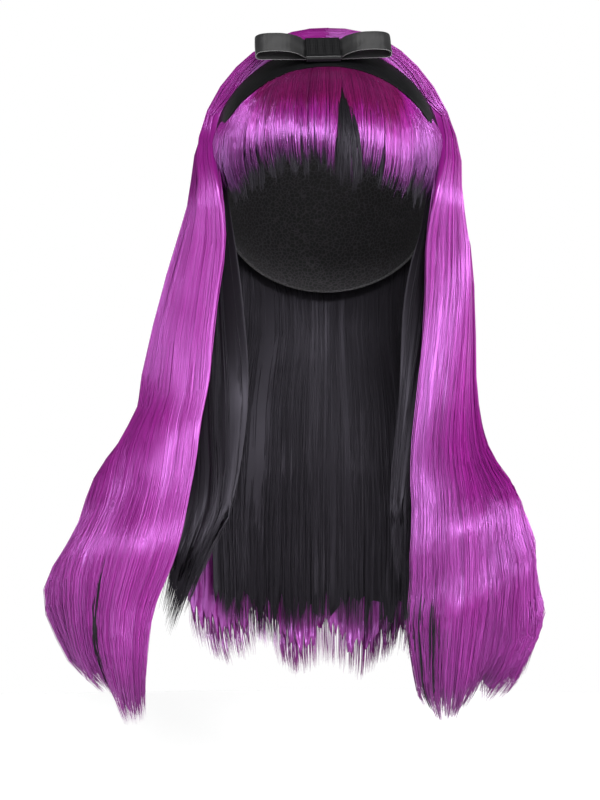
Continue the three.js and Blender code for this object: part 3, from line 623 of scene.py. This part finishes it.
def hair_piece(name, guides, cores, fibre, slot, nodes, **sizes):
    """One piece of hair: strands round its guides, on its cores, in place of CAD nodes."""
    lines, outs, tones, starts = zip(*guides)
    count = len(lines[0])
    first = np.arange(len(lines) * count).reshape(len(lines), count)
    edges = np.stack([first[:, :-1].ravel(), first[:, 1:].ravel()], -1)
    mesh = bpy.data.meshes.new(name + "_guides")
    mesh.from_pydata((np.concatenate(lines) * MM).tolist(), edges.tolist(), [])
    for label, kind, key, values in [
        ("lock", "FLOAT", "value", np.repeat(tones, count)),
        ("start", "FLOAT", "value", np.repeat(starts, count)),
        ("out", "FLOAT_VECTOR", "vector", np.concatenate(outs).ravel()),
    ]:
        mesh.attributes.new(label, kind, "POINT").data.foreach_set(key, values)
    carrier, bed = link(name + "_guides", mesh), link(name + "_core", wall_mesh(name + "_core", cores))
    strands = carrier.modifiers.new("Strands", "NODES")
    strands.node_group = STRANDS
    for label, value in dict(sizes, Core=bed, Fibre=fibre).items():
        strands[STRAND_INPUTS[label.replace("_", " ")]] = value
    combed = carrier.evaluated_get(bpy.context.evaluated_depsgraph_get())
    mesh = bpy.data.meshes.new_from_object(combed)
    mesh.name = name
    for spare in ("aside", "tone", "girth", "along", "lock", "start", "out"):
        if spare in mesh.attributes:
            mesh.attributes.remove(mesh.attributes[spare])
    carrier.modifiers.clear()
    bpy.data.objects.remove(carrier)
    bpy.data.objects.remove(bed)
    return set_piece(name, mesh, slot, *nodes)


def set_piece(name, mesh, slot, *nodes):
    """A finished mesh as a piece in place of CAD nodes."""
    piece = link(name, mesh)
    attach(piece, "root")
    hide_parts(*nodes)
    return piece


# Locks
LOCK_JITTER = 0.3
LOCK_RISES = (0.3, 1)
LOCK_TONES = (0.4, 0.65)
LOCK_TURNS = (1.3, 2.0)
LOCK_EDGE_DIP = 0.8
OUT_STEADY = 0.02  # share of the head's own outward direction, where a lock has none
ROLL_FROM, ROLL_RUN = 0.25, 0.4
GATHER_FROM = 0.2
CORE_PLACES = (0.02, 0.98)
CORE_INNER = 0.03
CORE_BACK_LIFT = 0.8
# Random stripes of the cores, all shifted dark: painted shade in the depth of the hair under the strands
CORE_TONES_AND_SHADE = (-0.42, -0.12)
EDGE_KEPT = 0.82  # share of the first and last lock that guides keep to, off the sheet's edges
STRAY_SHARE = 0.08
STRAY_REACH = 0.02
PARTED_SPREAD = 0.25
GUIDE_TRIM = (-5, 6)
OUTER_FACE, INNER_FACE, BETWEEN = (0, 0.04), (0.95, 1.0), (0.1, 0.9)


def lay_locks(count, seed, span=(0.0, 1.0), gather=0.06, sway=0.01, swell=1.2, short=4.0, wave=0.5):
    """Locks side by side across a span, each with its own middle, length, swell, tone and roll."""
    rng = np.random.default_rng(seed)
    width = (span[1] - span[0]) / count
    ends = span[0] + width * np.arange(count + 1)
    ends[1:-1] += rng.uniform(-LOCK_JITTER, LOCK_JITTER, count - 1) * width
    return [
        SimpleNamespace(
            first=first, last=last, middle=(first + last) / 2 + rng.normal(0, sway), gather=gather,
            cut=rng.uniform(0, short), rise=rng.uniform(*LOCK_RISES) * swell, tone=rng.uniform(*LOCK_TONES),
            roll=wave, turns=rng.uniform(*LOCK_TURNS), begin=rng.random(),
        )
        for first, last in zip(ends[:-1], ends[1:])
    ]


def lock_line(strand, lock, place, inner, lift, trim, count, tip=None):
    """A line at a place across a lock, and the outward directions along it. The lock swells along its middle
    and rolls, and its lines draw together towards the tip."""
    root = lock.first + (lock.last - lock.first) * place
    if tip is None:
        tip = lock.middle + (root - lock.middle) * (1 - lock.gather)
    side = abs(2 * place - 1)
    high = lift + (lock.rise * (1 - side**2) - LOCK_EDGE_DIP * side**3) * (1 - inner)
    a, b, c = (
        strand(at, inner, high + more, lock.cut + trim, count)
        for at, more in ((root, 0), (tip, 0), (root, 1))
    )
    along = np.linspace(0, 1, count)[:, None]
    turn = np.sin(2 * np.pi * (lock.turns * along + lock.begin))
    roll = lock.roll * smoothstep((along - ROLL_FROM) / ROLL_RUN) * turn
    gathered = smoothstep((along - GATHER_FROM) / (1 - GATHER_FROM))
    return a + (b - a) * gathered + (c - a) * roll, unit(c - a + OUT_STEADY * head_depth(a)[1])


def core(strand, locks, columns, rows, seed, shorter, inset=0.4):
    """Solid body of a sheet of hair under its strands, laid in the same locks, ragged at its end and
    striped. Its tones are set darker than those of the strands on it: painted shade between the strands."""
    rng = np.random.default_rng(seed)
    outer, inner, tones = [], [], []
    for lock in locks:
        for place in np.linspace(*CORE_PLACES, columns):
            cut = rng.uniform(*shorter)
            line = lock_line(strand, lock, place, CORE_INNER, -inset, cut, rows)[0]
            outer.append(line)
            inner.append(lock_line(strand, lock, place, 1.0, CORE_BACK_LIFT, cut, rows)[0])
            run = np.append(0, np.linalg.norm(np.diff(line, axis=0), axis=1).cumsum())
            # darker than its lock's strands: painted shade under them
            tone = np.full(rows, lock.tone + rng.uniform(*CORE_TONES_AND_SHADE))
            tones.append(np.stack([tone, run / (run[-1] + cut)], -1))
    return wall(np.array(outer), np.array(inner), np.array(tones))


def lock_guides(strand, locks, per_lock, seed, shares, count, parted=None, start=None):
    """Guides in locks: line, outward directions, tone, and the place along that its colour starts from.
    shares are those of guides on the outer and the inner face, and parted is a span that the tips keep
    out of."""
    rng = np.random.default_rng(seed + 100)
    guides = []
    for lock in locks:
        for k in range(per_lock):
            place = (k + rng.random()) / per_lock
            if lock is locks[0]:
                place = 1 - EDGE_KEPT * (1 - place)
            elif lock is locks[-1]:
                place = EDGE_KEPT * place
            root = lock.first + (lock.last - lock.first) * place
            tip = lock.middle + (root - lock.middle) * (1 - lock.gather)
            if rng.random() < STRAY_SHARE:
                tip = max(root + rng.normal(0, STRAY_REACH), locks[0].first + STRAY_REACH)
                tip = min(tip, locks[-1].last - STRAY_REACH)
            if parted and parted[0] < tip < parted[1]:
                edge = parted[0] if tip < sum(parted) / 2 else parted[1]
                tip = edge + PARTED_SPREAD * (edge - sum(parted) / 2) * rng.random()
            layer = rng.random()
            face = OUTER_FACE if layer < shares[0] else INNER_FACE if layer > 1 - shares[1] else BETWEEN
            inner = rng.uniform(*face)
            line, out = lock_line(strand, lock, place, inner, 0.0, rng.uniform(*GUIDE_TRIM), count, tip)
            guides.append((line, out if inner < 0.5 else -out, lock.tone, start(root) if start else 0.0))
    return guides


# Materials

def colour(code):
    """Linear colour of an sRGB hex code."""
    parts = [int(code[k:k + 2], 16) / 255 for k in (1, 3, 5)]
    return tuple(c / 12.92 if c <= 0.04045 else ((c + 0.055) / 1.055) ** 2.4 for c in parts) + (1.0,)


def set_ramp(node, stops):
    stones = node.color_ramp.elements
    while len(stones) < len(stops):
        stones.new(0.5)
    for stone, (at, code) in zip(stones, stops):
        stone.position = at
        stone.color = colour(code)
    return node


def new_material(name):
    material = bpy.data.materials.new(name)
    material.use_nodes = True
    material.node_tree.nodes.clear()
    return material, material.node_tree


def surfaced(material, inputs):
    """A material with its surface in place."""
    shader = add(material.node_tree, "ShaderNodeBsdfPrincipled", inputs)
    add(material.node_tree, "ShaderNodeOutputMaterial", {"Surface": shader})
    return material


GLOSS_CHANGE = (0.42, 0.6)  # stretch along a strand in which its roughness goes from root to tip value
OWN_GLOSS = (0.08, -0.04)  # roughness that dark and light strands add


def fibre_material(name, lengthwise, dark, rough, tint, index):
    """Synthetic wig fibre, extruded and heat-set smooth: glossy bands across the strands, tones that differ
    a little from strand to strand, darker in the cores as painted shade, and a change of colour and gloss
    from root to tip, which in the fringe is painted shade over the roots and a painted highlight band."""
    material, tree = new_material(name)
    place = add(tree, "ShaderNodeUVMap", uv_map=TONE_MAP)
    parts = add(tree, "ShaderNodeSeparateXYZ", {0: place}).outputs
    base = set_ramp(add(tree, "ShaderNodeValToRGB", {0: parts[1]}), lengthwise)
    tones = [(0.0, dark), (0.55, "#d4d4d4"), (1.0, "#ffffff")]
    shade = set_ramp(add(tree, "ShaderNodeValToRGB", {0: parts[0]}), tones)
    mixed = add(
        tree, "ShaderNodeMix", {0: 1.0, 6: base, 7: shade}, data_type="RGBA", blend_type="MULTIPLY",
    ).outputs[2]
    gloss = add(
        tree, "ShaderNodeMapRange",
        {0: parts[1], 1: GLOSS_CHANGE[0], 2: GLOSS_CHANGE[1], 3: rough[0], 4: rough[1]},
    )
    own = add(tree, "ShaderNodeMapRange", {0: parts[0], 3: OWN_GLOSS[0], 4: OWN_GLOSS[1]})
    gloss = add(tree, "ShaderNodeMath", {0: gloss, 1: own}, operation="ADD")
    facing = add(tree, "ShaderNodeNewGeometry").outputs["Normal"]
    across = add(tree, "ShaderNodeVectorMath", {0: facing, 1: (0, 0, 1)}, operation="CROSS_PRODUCT")
    return surfaced(material, {
        "Base Color": mixed, "Roughness": gloss, "Tangent": across, "Anisotropic": 0.6, "IOR": index,
        "Specular Tint": colour(tint),
    })


PURPLE_FIBRE = fibre_material(
    "purple_synthetic_fibre",
    [(0.0, "#6c0c60"), (0.12, "#780c6c"), (0.5, "#7c0c70"), (0.85, "#760c6a"), (1.0, "#64085a")],
    "#a0a0a0", (0.35, 0.35), "#ea9cff", 2.0,
)
# Along the fringe: painted shade, a dark plum dome over the roots, up to 0.62; the purple's own colour at
# 0.75, placed where the highlight band falls, so partly painted highlight; then darker, and near black at the
# tips where the fringe's purple ends in black
FRINGE_FIBRE = fibre_material(
    "purple_fringe_fibre",
    [(0.0, "#48022c"), (0.62, "#580238"), (0.75, "#800e74"), (0.86, "#640a5c"), (1.0, "#1c021e")],
    "#a0a0a0", (0.38, 0.27), "#ea9cff", 2.0,
)
BLACK_FIBRE = fibre_material(
    "black_synthetic_fibre",
    [(0.0, "#050405"), (0.5, "#060506"), (1.0, "#080608")],
    "#a4a4a4", (0.54, 0.5), "#f0e8ff", 1.32,
)


RIB_RADIAN = 0.5  # millimetres of ribbon to a radian of its rib
WAVE_RADIANS = 20  # radians of a Wave texture of scale 1 to a metre
CLOUD_SCALE = 60.0  # clouds of about 17 mm


def satin_material(name, turned, index):
    """Black satin ribbon, long floats of thread: a soft sheen that runs along one way, with a shallow rib.
    The rib is about 3.1 mm, far coarser than the real 0.2 mm thread, so that it shows."""
    material, tree = new_material(name)
    place = add(tree, "ShaderNodeTexCoord").outputs["Object"]
    place = add(tree, "ShaderNodeMapping", {"Vector": place, "Rotation": turned})
    scale = 1 / (RIB_RADIAN * MM) / WAVE_RADIANS
    rib = add(
        tree, "ShaderNodeTexWave", {"Vector": place, "Scale": scale, "Distortion": 0.4, "Detail": 1.0},
        wave_type="BANDS", bands_direction="X",
    ).outputs["Fac"]
    cloud = add(tree, "ShaderNodeTexNoise", {"Vector": place, "Scale": CLOUD_SCALE, "Detail": 3.0})
    cloud = cloud.outputs["Fac"]
    tone = set_ramp(add(tree, "ShaderNodeValToRGB", {0: cloud}), [(0.3, "#050506"), (0.7, "#09090a")])
    bump = add(tree, "ShaderNodeBump", {"Height": rib, "Strength": 0.25, "Distance": 0.1 * MM})
    rough = add(tree, "ShaderNodeMapRange", {0: cloud, 3: 0.3, 4: 0.42})
    return surfaced(material, {
        "Base Color": tone, "Normal": bump, "Roughness": rough, "IOR": index,
        "Anisotropic": 0.4,
    })


SATIN = satin_material("black_satin_ribbon", (0, 0, 0), 2.0)
SATIN_TURNED = satin_material("black_satin_ribbon_turned", (0, 0, math.pi / 2), 1.25)


NET_CELL = 3  # millimetres


def net_material():
    """Black elastic cap net, warp-knitted: a matt open mesh over a darker ground."""
    material, tree = new_material("black_cap_net")
    place = add(tree, "ShaderNodeTexCoord").outputs["Object"]
    cells = add(
        tree, "ShaderNodeTexVoronoi", {"Vector": place, "Scale": 1 / (NET_CELL * MM)},
        feature="DISTANCE_TO_EDGE",
    ).outputs["Distance"]
    thread = add(tree, "ShaderNodeMapRange", {0: cells, 1: 0.04, 2: 0.1, 3: 1.0, 4: 0.0})
    tone = set_ramp(add(tree, "ShaderNodeValToRGB", {0: thread}), [(0.0, "#070608"), (1.0, "#2a272c")])
    bump = add(tree, "ShaderNodeBump", {"Height": thread, "Strength": 0.6, "Distance": 0.4 * MM})
    return surfaced(
        material, {"Base Color": tone, "Normal": bump, "Roughness": 0.8}
    )


CAP_NET = net_material()


# Hair pieces

PURPLE_GUIDES, BLACK_GUIDES, BLACK_POINTS = 120, 16, 14
BLACK_COLUMNS, BLACK_ROWS = 96, 22
THROUGH_POINTS, THROUGH_FROM, THROUGH_SUNK, THROUGH_TONE = 48, (35, 40), 3, 0.5


def showing_through(which, span, amount, seed):
    """Guides of black strands that come out of a purple sheet in a span, and lie on its last stretch."""
    rng = np.random.default_rng(seed)
    lock = lay_locks(1, seed, span, swell=0.4)[0]
    guides = []
    for _ in range(amount):
        begin = rng.integers(*THROUGH_FROM)
        place, lift, trim = rng.random(), rng.uniform(0.2, 1.2), rng.uniform(-4, 16)
        line, out = lock_line(partial(sheet_strand, which), lock, place, 0.0, lift, trim, THROUGH_POINTS)
        sunk = THROUGH_SUNK * (1 - smoothstep(np.linspace(0, 3, THROUGH_POINTS - begin)))
        line = spaced(line[begin:] - out[begin:] * sunk[:, None], BLACK_POINTS, EVEN)
        guides.append((line, spaced(out[begin:], BLACK_POINTS, EVEN), THROUGH_TONE, 0.0))
    return guides


# Columns: name, sheet, node, seed, locks, shares of guides on the outer and inner face, the core's columns
# and rows, how much shorter the core is, strands to a guide, points on a guide
for name, which, node, seed, count, shares, body, shorter, strands, points in [
    ("purple_hair_left", LEFT, "left_hair", 11, 9, (0.84, 0.06), (96, 70), (9, 18), 7, 30),
    ("purple_hair_right", RIGHT, "right_hair", 12, 8, (0.84, 0.06), (96, 70), (9, 18), 7, 30),
    ("purple_hair_back", BACK, "back_hair", 13, 10, (0.5, 0.42), (160, 40), (12, 34), 9, 26),
]:
    strand, locks = partial(sheet_strand, which), lay_locks(count, seed)
    hair_piece(
        name, lock_guides(strand, locks, PURPLE_GUIDES // count, seed, shares, points),
        [core(strand, locks, body[0] // count, body[1], seed, shorter)],
        PURPLE_FIBRE, "purple_hair", [node], Strands_per_guide=strands, Spread=4.5 * MM, Lift=0.9 * MM,
        Strand_width=0.5 * MM, Ruffle=1.8 * MM, Tip_cut=0.014, Seed=seed,
    )
# Columns: name, sheet, node, seed, locks, how uneven the locks are, how much shorter the core is, tip cut,
# and the strands that show through the purple: sheet, span, amount and seed
for name, which, node, seed, count, short, shorter, cut, through in [
    (
        "black_hair_left", LEFT_UNDER, "left_under_hair", 21, 4, 14, (32, 64), 0.09,
        (LEFT, (0.31, 0.35), 8, 24),
    ),
    (
        "black_hair_right", RIGHT_UNDER, "right_under_hair", 22, 4, 14, (32, 64), 0.09,
        (RIGHT, (0.01, 0.22), 7, 25),
    ),
    ("black_hair_back", BACK_UNDER, "back_under_hair", 23, 7, 4, (12, 36), 0.03, None),
]:
    strand = partial(sheet_strand, which)
    locks = lay_locks(count, seed, gather=0.18, swell=1.0, short=short)
    guides = lock_guides(strand, locks, BLACK_GUIDES, seed, (0.2, 0.6), BLACK_POINTS)
    hair_piece(
        name, guides + (showing_through(*through) if through else []),
        [core(strand, locks, BLACK_COLUMNS // count, BLACK_ROWS, seed, shorter)],
        BLACK_FIBRE, "black_hair", [node], Strands_per_guide=7, Spread=3.0 * MM, Lift=0.9 * MM,
        Strand_width=0.5 * MM, Ruffle=4 * MM, Tip_cut=cut, Seed=seed,
    )

# Fringe
FRINGE_POINTS = 11
FRINGE_PARTED = (STREAK_LEFT - 0.012, STREAK_RIGHT + 0.008)


def fringe_start(across):
    """Place along from which a fringe strand's colour starts: the sides have none of the painted shade over
    the roots, so the dark dome narrows towards them.
    """
    return 0.66 * smoothstep((abs(2 * across - 1) - 0.36) / 0.44)


strand = partial(fringe_strand, FRINGE)
locks = lay_locks(10, 31, (-0.06, 1.06), gather=0.1, sway=0.006, swell=0.8, short=8, wave=0.4)
hair_piece(
    "purple_fringe",
    lock_guides(strand, locks, 27, 31, (0.9, 0.0), FRINGE_POINTS, FRINGE_PARTED, fringe_start),
    [core(strand, locks, 9, 18, 31, (26, 36), 0.9)],
    FRINGE_FIBRE, "purple_hair", ["fringe_left", "fringe_right"], Strands_per_guide=8, Spread=2.2 * MM,
    Lift=0.8 * MM, Strand_width=0.42 * MM, Ruffle=2.4 * MM, Tip_cut=0.2, Seed=31,
)
under, streak = partial(fringe_strand, FRINGE_UNDER), partial(fringe_strand, STREAK)
middle = (STREAK_LEFT + STREAK_RIGHT) / 2
under_locks = lay_locks(9, 32, (0.06, 0.94), gather=0.2, sway=0.012, swell=0.6, short=9, wave=0.4)
# The streak is one narrow lock that opens out towards its tip
streak_locks = lay_locks(1, 33, (middle - 0.005, middle + 0.005), gather=-9.0, sway=0.0, short=6, wave=0.3)
streak_locks[0].middle -= 0.001
streak_locks[0].rise = 3.0
hair_piece(
    "black_fringe",
    lock_guides(under, under_locks, 12, 32, (0.7, 0.0), FRINGE_POINTS)
    + lock_guides(streak, streak_locks, 24, 33, (1.0, 0.0), FRINGE_POINTS),
    [core(under, under_locks, 6, 12, 32, (30, 40), 0.8)],
    BLACK_FIBRE, "black_hair", ["fringe_under", "fringe_streak"], Strands_per_guide=7, Spread=1.9 * MM,
    Lift=0.8 * MM, Strand_width=0.45 * MM, Ruffle=3 * MM, Tip_cut=0.2, Seed=32,
)


# Cap

CAP_COLUMNS, CAP_ROWS = 96, 34
CAP_EYE = 0.015  # share of the way from the crown to the rim that stays open at the crown
HEM_FROM, HEM_RUN, HEM_ROLL = 0.955, 0.02, 0.5
NET_LOW, NET_HIGH = 0.1, CAP_WALL - 0.2


def cap_piece():
    """Net shell with a rolled elastic hem round its rim."""
    slope = (RIM_NAPE[1] - RIM_FRONT[1]) / (RIM_NAPE[0] - RIM_FRONT[0])
    height = RIM_FRONT[1] - slope * RIM_FRONT[0]
    turns = np.linspace(0, 2 * np.pi, CAP_COLUMNS, endpoint=False)
    lean = slope * HEAD[1] * np.cos(turns)
    far = np.arctan2(lean, HEAD[2]) + np.arccos((height - CENTRE[2]) / np.hypot(HEAD[2], lean))
    share = np.linspace(CAP_EYE, 1, CAP_ROWS)
    drop = np.degrees(far[:, None] * share[None])
    ways = direction(np.degrees(turns)[:, None], drop)
    hem = np.clip((share - HEM_FROM) / HEM_RUN, 0, 1)[None] * np.ones((len(turns), 1))
    outer = over_head(ways, NET_HIGH + HEM_ROLL * hem)
    inner = over_head(ways, NET_LOW - HEM_ROLL * hem)
    mesh = wall_mesh("net_cap", [wall(outer, inner, closed=True)], CAP_NET)
    cap = set_piece("net_cap", mesh, "cap_net", "cap_left", "cap_right", "cap_front", "cap_back")


cap_piece()


# Headband and bow

BAND_COLUMNS, BAND_ROWS = 120, 17
BAND_EDGE = 0.45  # share of its thickness that the band has at its edges
BAND_LOW = 0.1
PUCKER = 0.12


def band_piece():
    """Satin-covered band: crowned across its width, slightly puckered along its edges."""
    over, across = np.meshgrid(
        np.linspace(-BAND_REACH, BAND_REACH, BAND_COLUMNS), np.linspace(-1, 1, BAND_ROWS), indexing="ij",
    )
    pucker = PUCKER * np.sin(over * 1.9 + 1.3 * np.sin(over * 0.37)) * np.abs(across) ** 3
    crown = BAND_THICKNESS * (BAND_EDGE + (1 - BAND_EDGE) * np.sqrt(np.clip(1 - across**2, 0, 1)))
    ways = band_direction(over, across * BAND_WIDTH / 2)
    outer = over_head(ways, band_depth(over) + crown + pucker)
    inner = over_head(ways, band_depth(over) + BAND_LOW)
    mesh = wall_mesh("satin_headband", [wall(outer, inner)], SATIN_TURNED)
    band = set_piece("satin_headband", mesh, "satin", "headband")


band_piece()

# Middle line of the folded ribbon on one side of the bow
# Columns: distance from the bow's middle, height off the band
LOOP_LINE = [
    (0, 2.2), (8, 2.2), (12.4, 2.4), (16.5, 4.9), (22, 7.0), (28, 8.1), (34, 8.5), (40, 8.3), (45, 7.5),
    (47.6, 5.8), (48.1, 3.8), (47.2, 2.1), (44.5, 1.3), (36, 1.1), (24, 0.8), (12.4, 0.45), (0, 0.4),
]
BOW_STAND = 1.0  # room under the bow for the ribbon of its knot
EDGE_CURL, LOOP_RIPPLE = 0.2, 0.05
KNOT_LOW, KNOT_HIGH = -0.75, 3.45
KNOT_HALF = RIBBON_WIDTH / 2 + 0.8
KNOT_ROUND = 0.6


def bow_place(faces):
    """Moves faces from the bow's own frame (along it, off the band, across the ribbon) to their place."""
    top = band_direction(0.0, 0.0)
    up = head_normal(top)
    seat = over_head(top, BAND_DEPTH_TOP + BAND_THICKNESS + BOW_STAND + 2 * FIT_GAP)
    seat[0] = BOW_OFFSET
    turn = np.array(Euler((math.atan2(up[2], up[1]), 0, 0)).to_matrix())
    tilt = np.array(Euler((0, math.radians(BOW_TILT), 0)).to_matrix())
    return [(f.reshape(-1, 3) @ (turn @ tilt).T + seat).reshape(f.shape) for f in faces]


def ribbon_faces(line, width, sections, ripple):
    """Outer and inner faces of a ribbon that follows a closed line, width across, with soft ripples."""
    ahead = np.roll(line, -1, axis=0) - np.roll(line, 1, axis=0)
    out = unit(np.stack([ahead[:, 1], -ahead[:, 0]], -1))
    across = np.linspace(-0.5, 0.5, sections)
    wide = np.broadcast_to(across[None, :, None] * width, (len(line), sections, 1))
    faces = []
    for side in (0.5, -0.5):
        lift = side * RIBBON_THICKNESS + ripple(line, across)
        faces.append(np.concatenate([line[:, None] + out[:, None] * lift[..., None], wide], -1))
    return faces


def loop_ripple(line, across):
    """Edges that curl out a little, and soft waves towards the ends of the bow."""
    edge = EDGE_CURL * (2 * np.abs(across[None])) ** 6
    soft = LOOP_RIPPLE * np.sin(line[:, :1] * 0.55 + 9 * across[None])
    return edge + soft * np.clip(np.abs(line[:, :1]) / 20 - 0.5, 0, 1)


def knot_ripple(line, across):
    """Gathers on the front of the knot."""
    gathers = np.sin(across[None] * 58) * 0.16 + np.sin(across[None] * 31 + 1) * 0.1
    return gathers * smoothstep((line[:, 1:] - 2.4) / 0.9) * smoothstep((KNOT_HALF - np.abs(line[:, :1])) / 4)


def bow_pieces():
    """Flat bow of one ribbon, and the ribbon wound round its middle."""
    right = np.array(LOOP_LINE, float)
    left = right[::-1] * (-1, 1)
    ring = np.vstack([right, left[1:-1]])
    ring = smooth_curve(np.vstack([ring, ring[:1]]), 5)[:-1]
    faces = bow_place(ribbon_faces(ring, RIBBON_WIDTH, 15, loop_ripple))
    mesh = wall_mesh("satin_bow_loops", [wall(*faces, closed=True)], SATIN)
    loops = set_piece("satin_bow_loops", mesh, "satin", "bow_loops")

    half, shoulder = KNOT_HALF, KNOT_HALF - KNOT_ROUND
    ring = np.array([
        (-half, 0.6), (-half, 2.2), (-shoulder, KNOT_HIGH), (-6, KNOT_HIGH + 0.25), (0, KNOT_HIGH + 0.35),
        (6, KNOT_HIGH + 0.25), (shoulder, KNOT_HIGH), (half, 2.2), (half, 0.6), (shoulder, KNOT_LOW),
        (0, KNOT_LOW), (-shoulder, KNOT_LOW),
    ])
    ring = smooth_curve(np.vstack([ring, ring[:1]]), 4)[:-1]
    faces = bow_place([f[..., [2, 1, 0]] for f in ribbon_faces(ring, KNOT_WIDTH, 49, knot_ripple)])
    mesh = wall_mesh("satin_bow_knot", [wall(*faces, closed=True)], SATIN_TURNED)
    knot = set_piece("satin_bow_knot", mesh, "satin", "bow_knot")


bow_pieces()


# Stage, light and camera

FLOOR, FLOOR_RADIUS, FLOOR_SIDES = -0.6, 1.3, 96
LIT_PLACE = (0, -0.03, -0.18)
CAMERA_PLACE = (-0.0198, -2.0, -0.248)
LENS, SENSOR = 122.4, 36


def stage_scene():
    """Pale round floor, a surround that is white at eye level and grey above and below, soft area lights and
    a camera straight in front."""
    scene = bpy.context.scene
    scene.view_settings.view_transform = "Standard"
    turns = [2 * math.pi * k / FLOOR_SIDES for k in range(FLOOR_SIDES)]
    rim = [(FLOOR_RADIUS * math.cos(t), FLOOR_RADIUS * math.sin(t), FLOOR) for t in turns]
    floor_mesh = bpy.data.meshes.new("floor")
    floor_mesh.from_pydata(rim, [], [list(range(FLOOR_SIDES))])
    floor_mesh.materials.append(surfaced(new_material("pale_floor")[0], {
        "Base Color": colour("#fafafa"), "Roughness": 0.9, "Emission Color": colour("#ffffff"),
        "Emission Strength": 0.5,
    }))
    link("floor", floor_mesh)

    world = bpy.data.worlds.new("studio")
    world.use_nodes = True
    scene.world = world
    tree = world.node_tree
    ground = tree.nodes["Background"]
    way = add(tree, "ShaderNodeTexCoord").outputs["Generated"]
    level = add(tree, "ShaderNodeSeparateXYZ", {0: way}).outputs[2]
    level = add(tree, "ShaderNodeMath", {0: level}, operation="ABSOLUTE")
    glow = set_ramp(add(tree, "ShaderNodeValToRGB", {0: level}), [(0.17, "#ffffff"), (0.35, "#646464")])
    tree.links.new(glow.outputs[0], ground.inputs[0])
    ground.inputs[1].default_value = 1.0

    # Columns: name, place, width, height, power in watts
    for name, place, width, height, power in [
        ("key", (0.3, -2.1, 0.75), 0.7, 0.55, 112),
        ("fill", (0.6, -2.2, -0.05), 0.7, 0.5, 8),
        ("strip_left", (-1.6, -0.7, 0.0), 0.3, 1.2, 20),
        ("strip_right", (1.6, -0.7, 0.1), 0.3, 1.2, 46),
        ("top", (0.0, 0.35, 1.5), 0.6, 0.5, 0.9),
    ]:
        lamp = bpy.data.lights.new(name, "AREA")
        lamp.shape = "RECTANGLE"
        lamp.size, lamp.size_y = width, height
        lamp.energy = power
        obj = link(name, lamp)
        obj.location = place
        obj.rotation_euler = (Vector(LIT_PLACE) - Vector(place)).to_track_quat("-Z", "Y").to_euler()

    lens = bpy.data.cameras.new("camera")
    lens.lens, lens.sensor_width = LENS, SENSOR
    camera = link("camera", lens)
    camera.location = CAMERA_PLACE
    camera.rotation_euler = (math.pi / 2, 0, 0)
    scene.camera = camera


stage_scene()
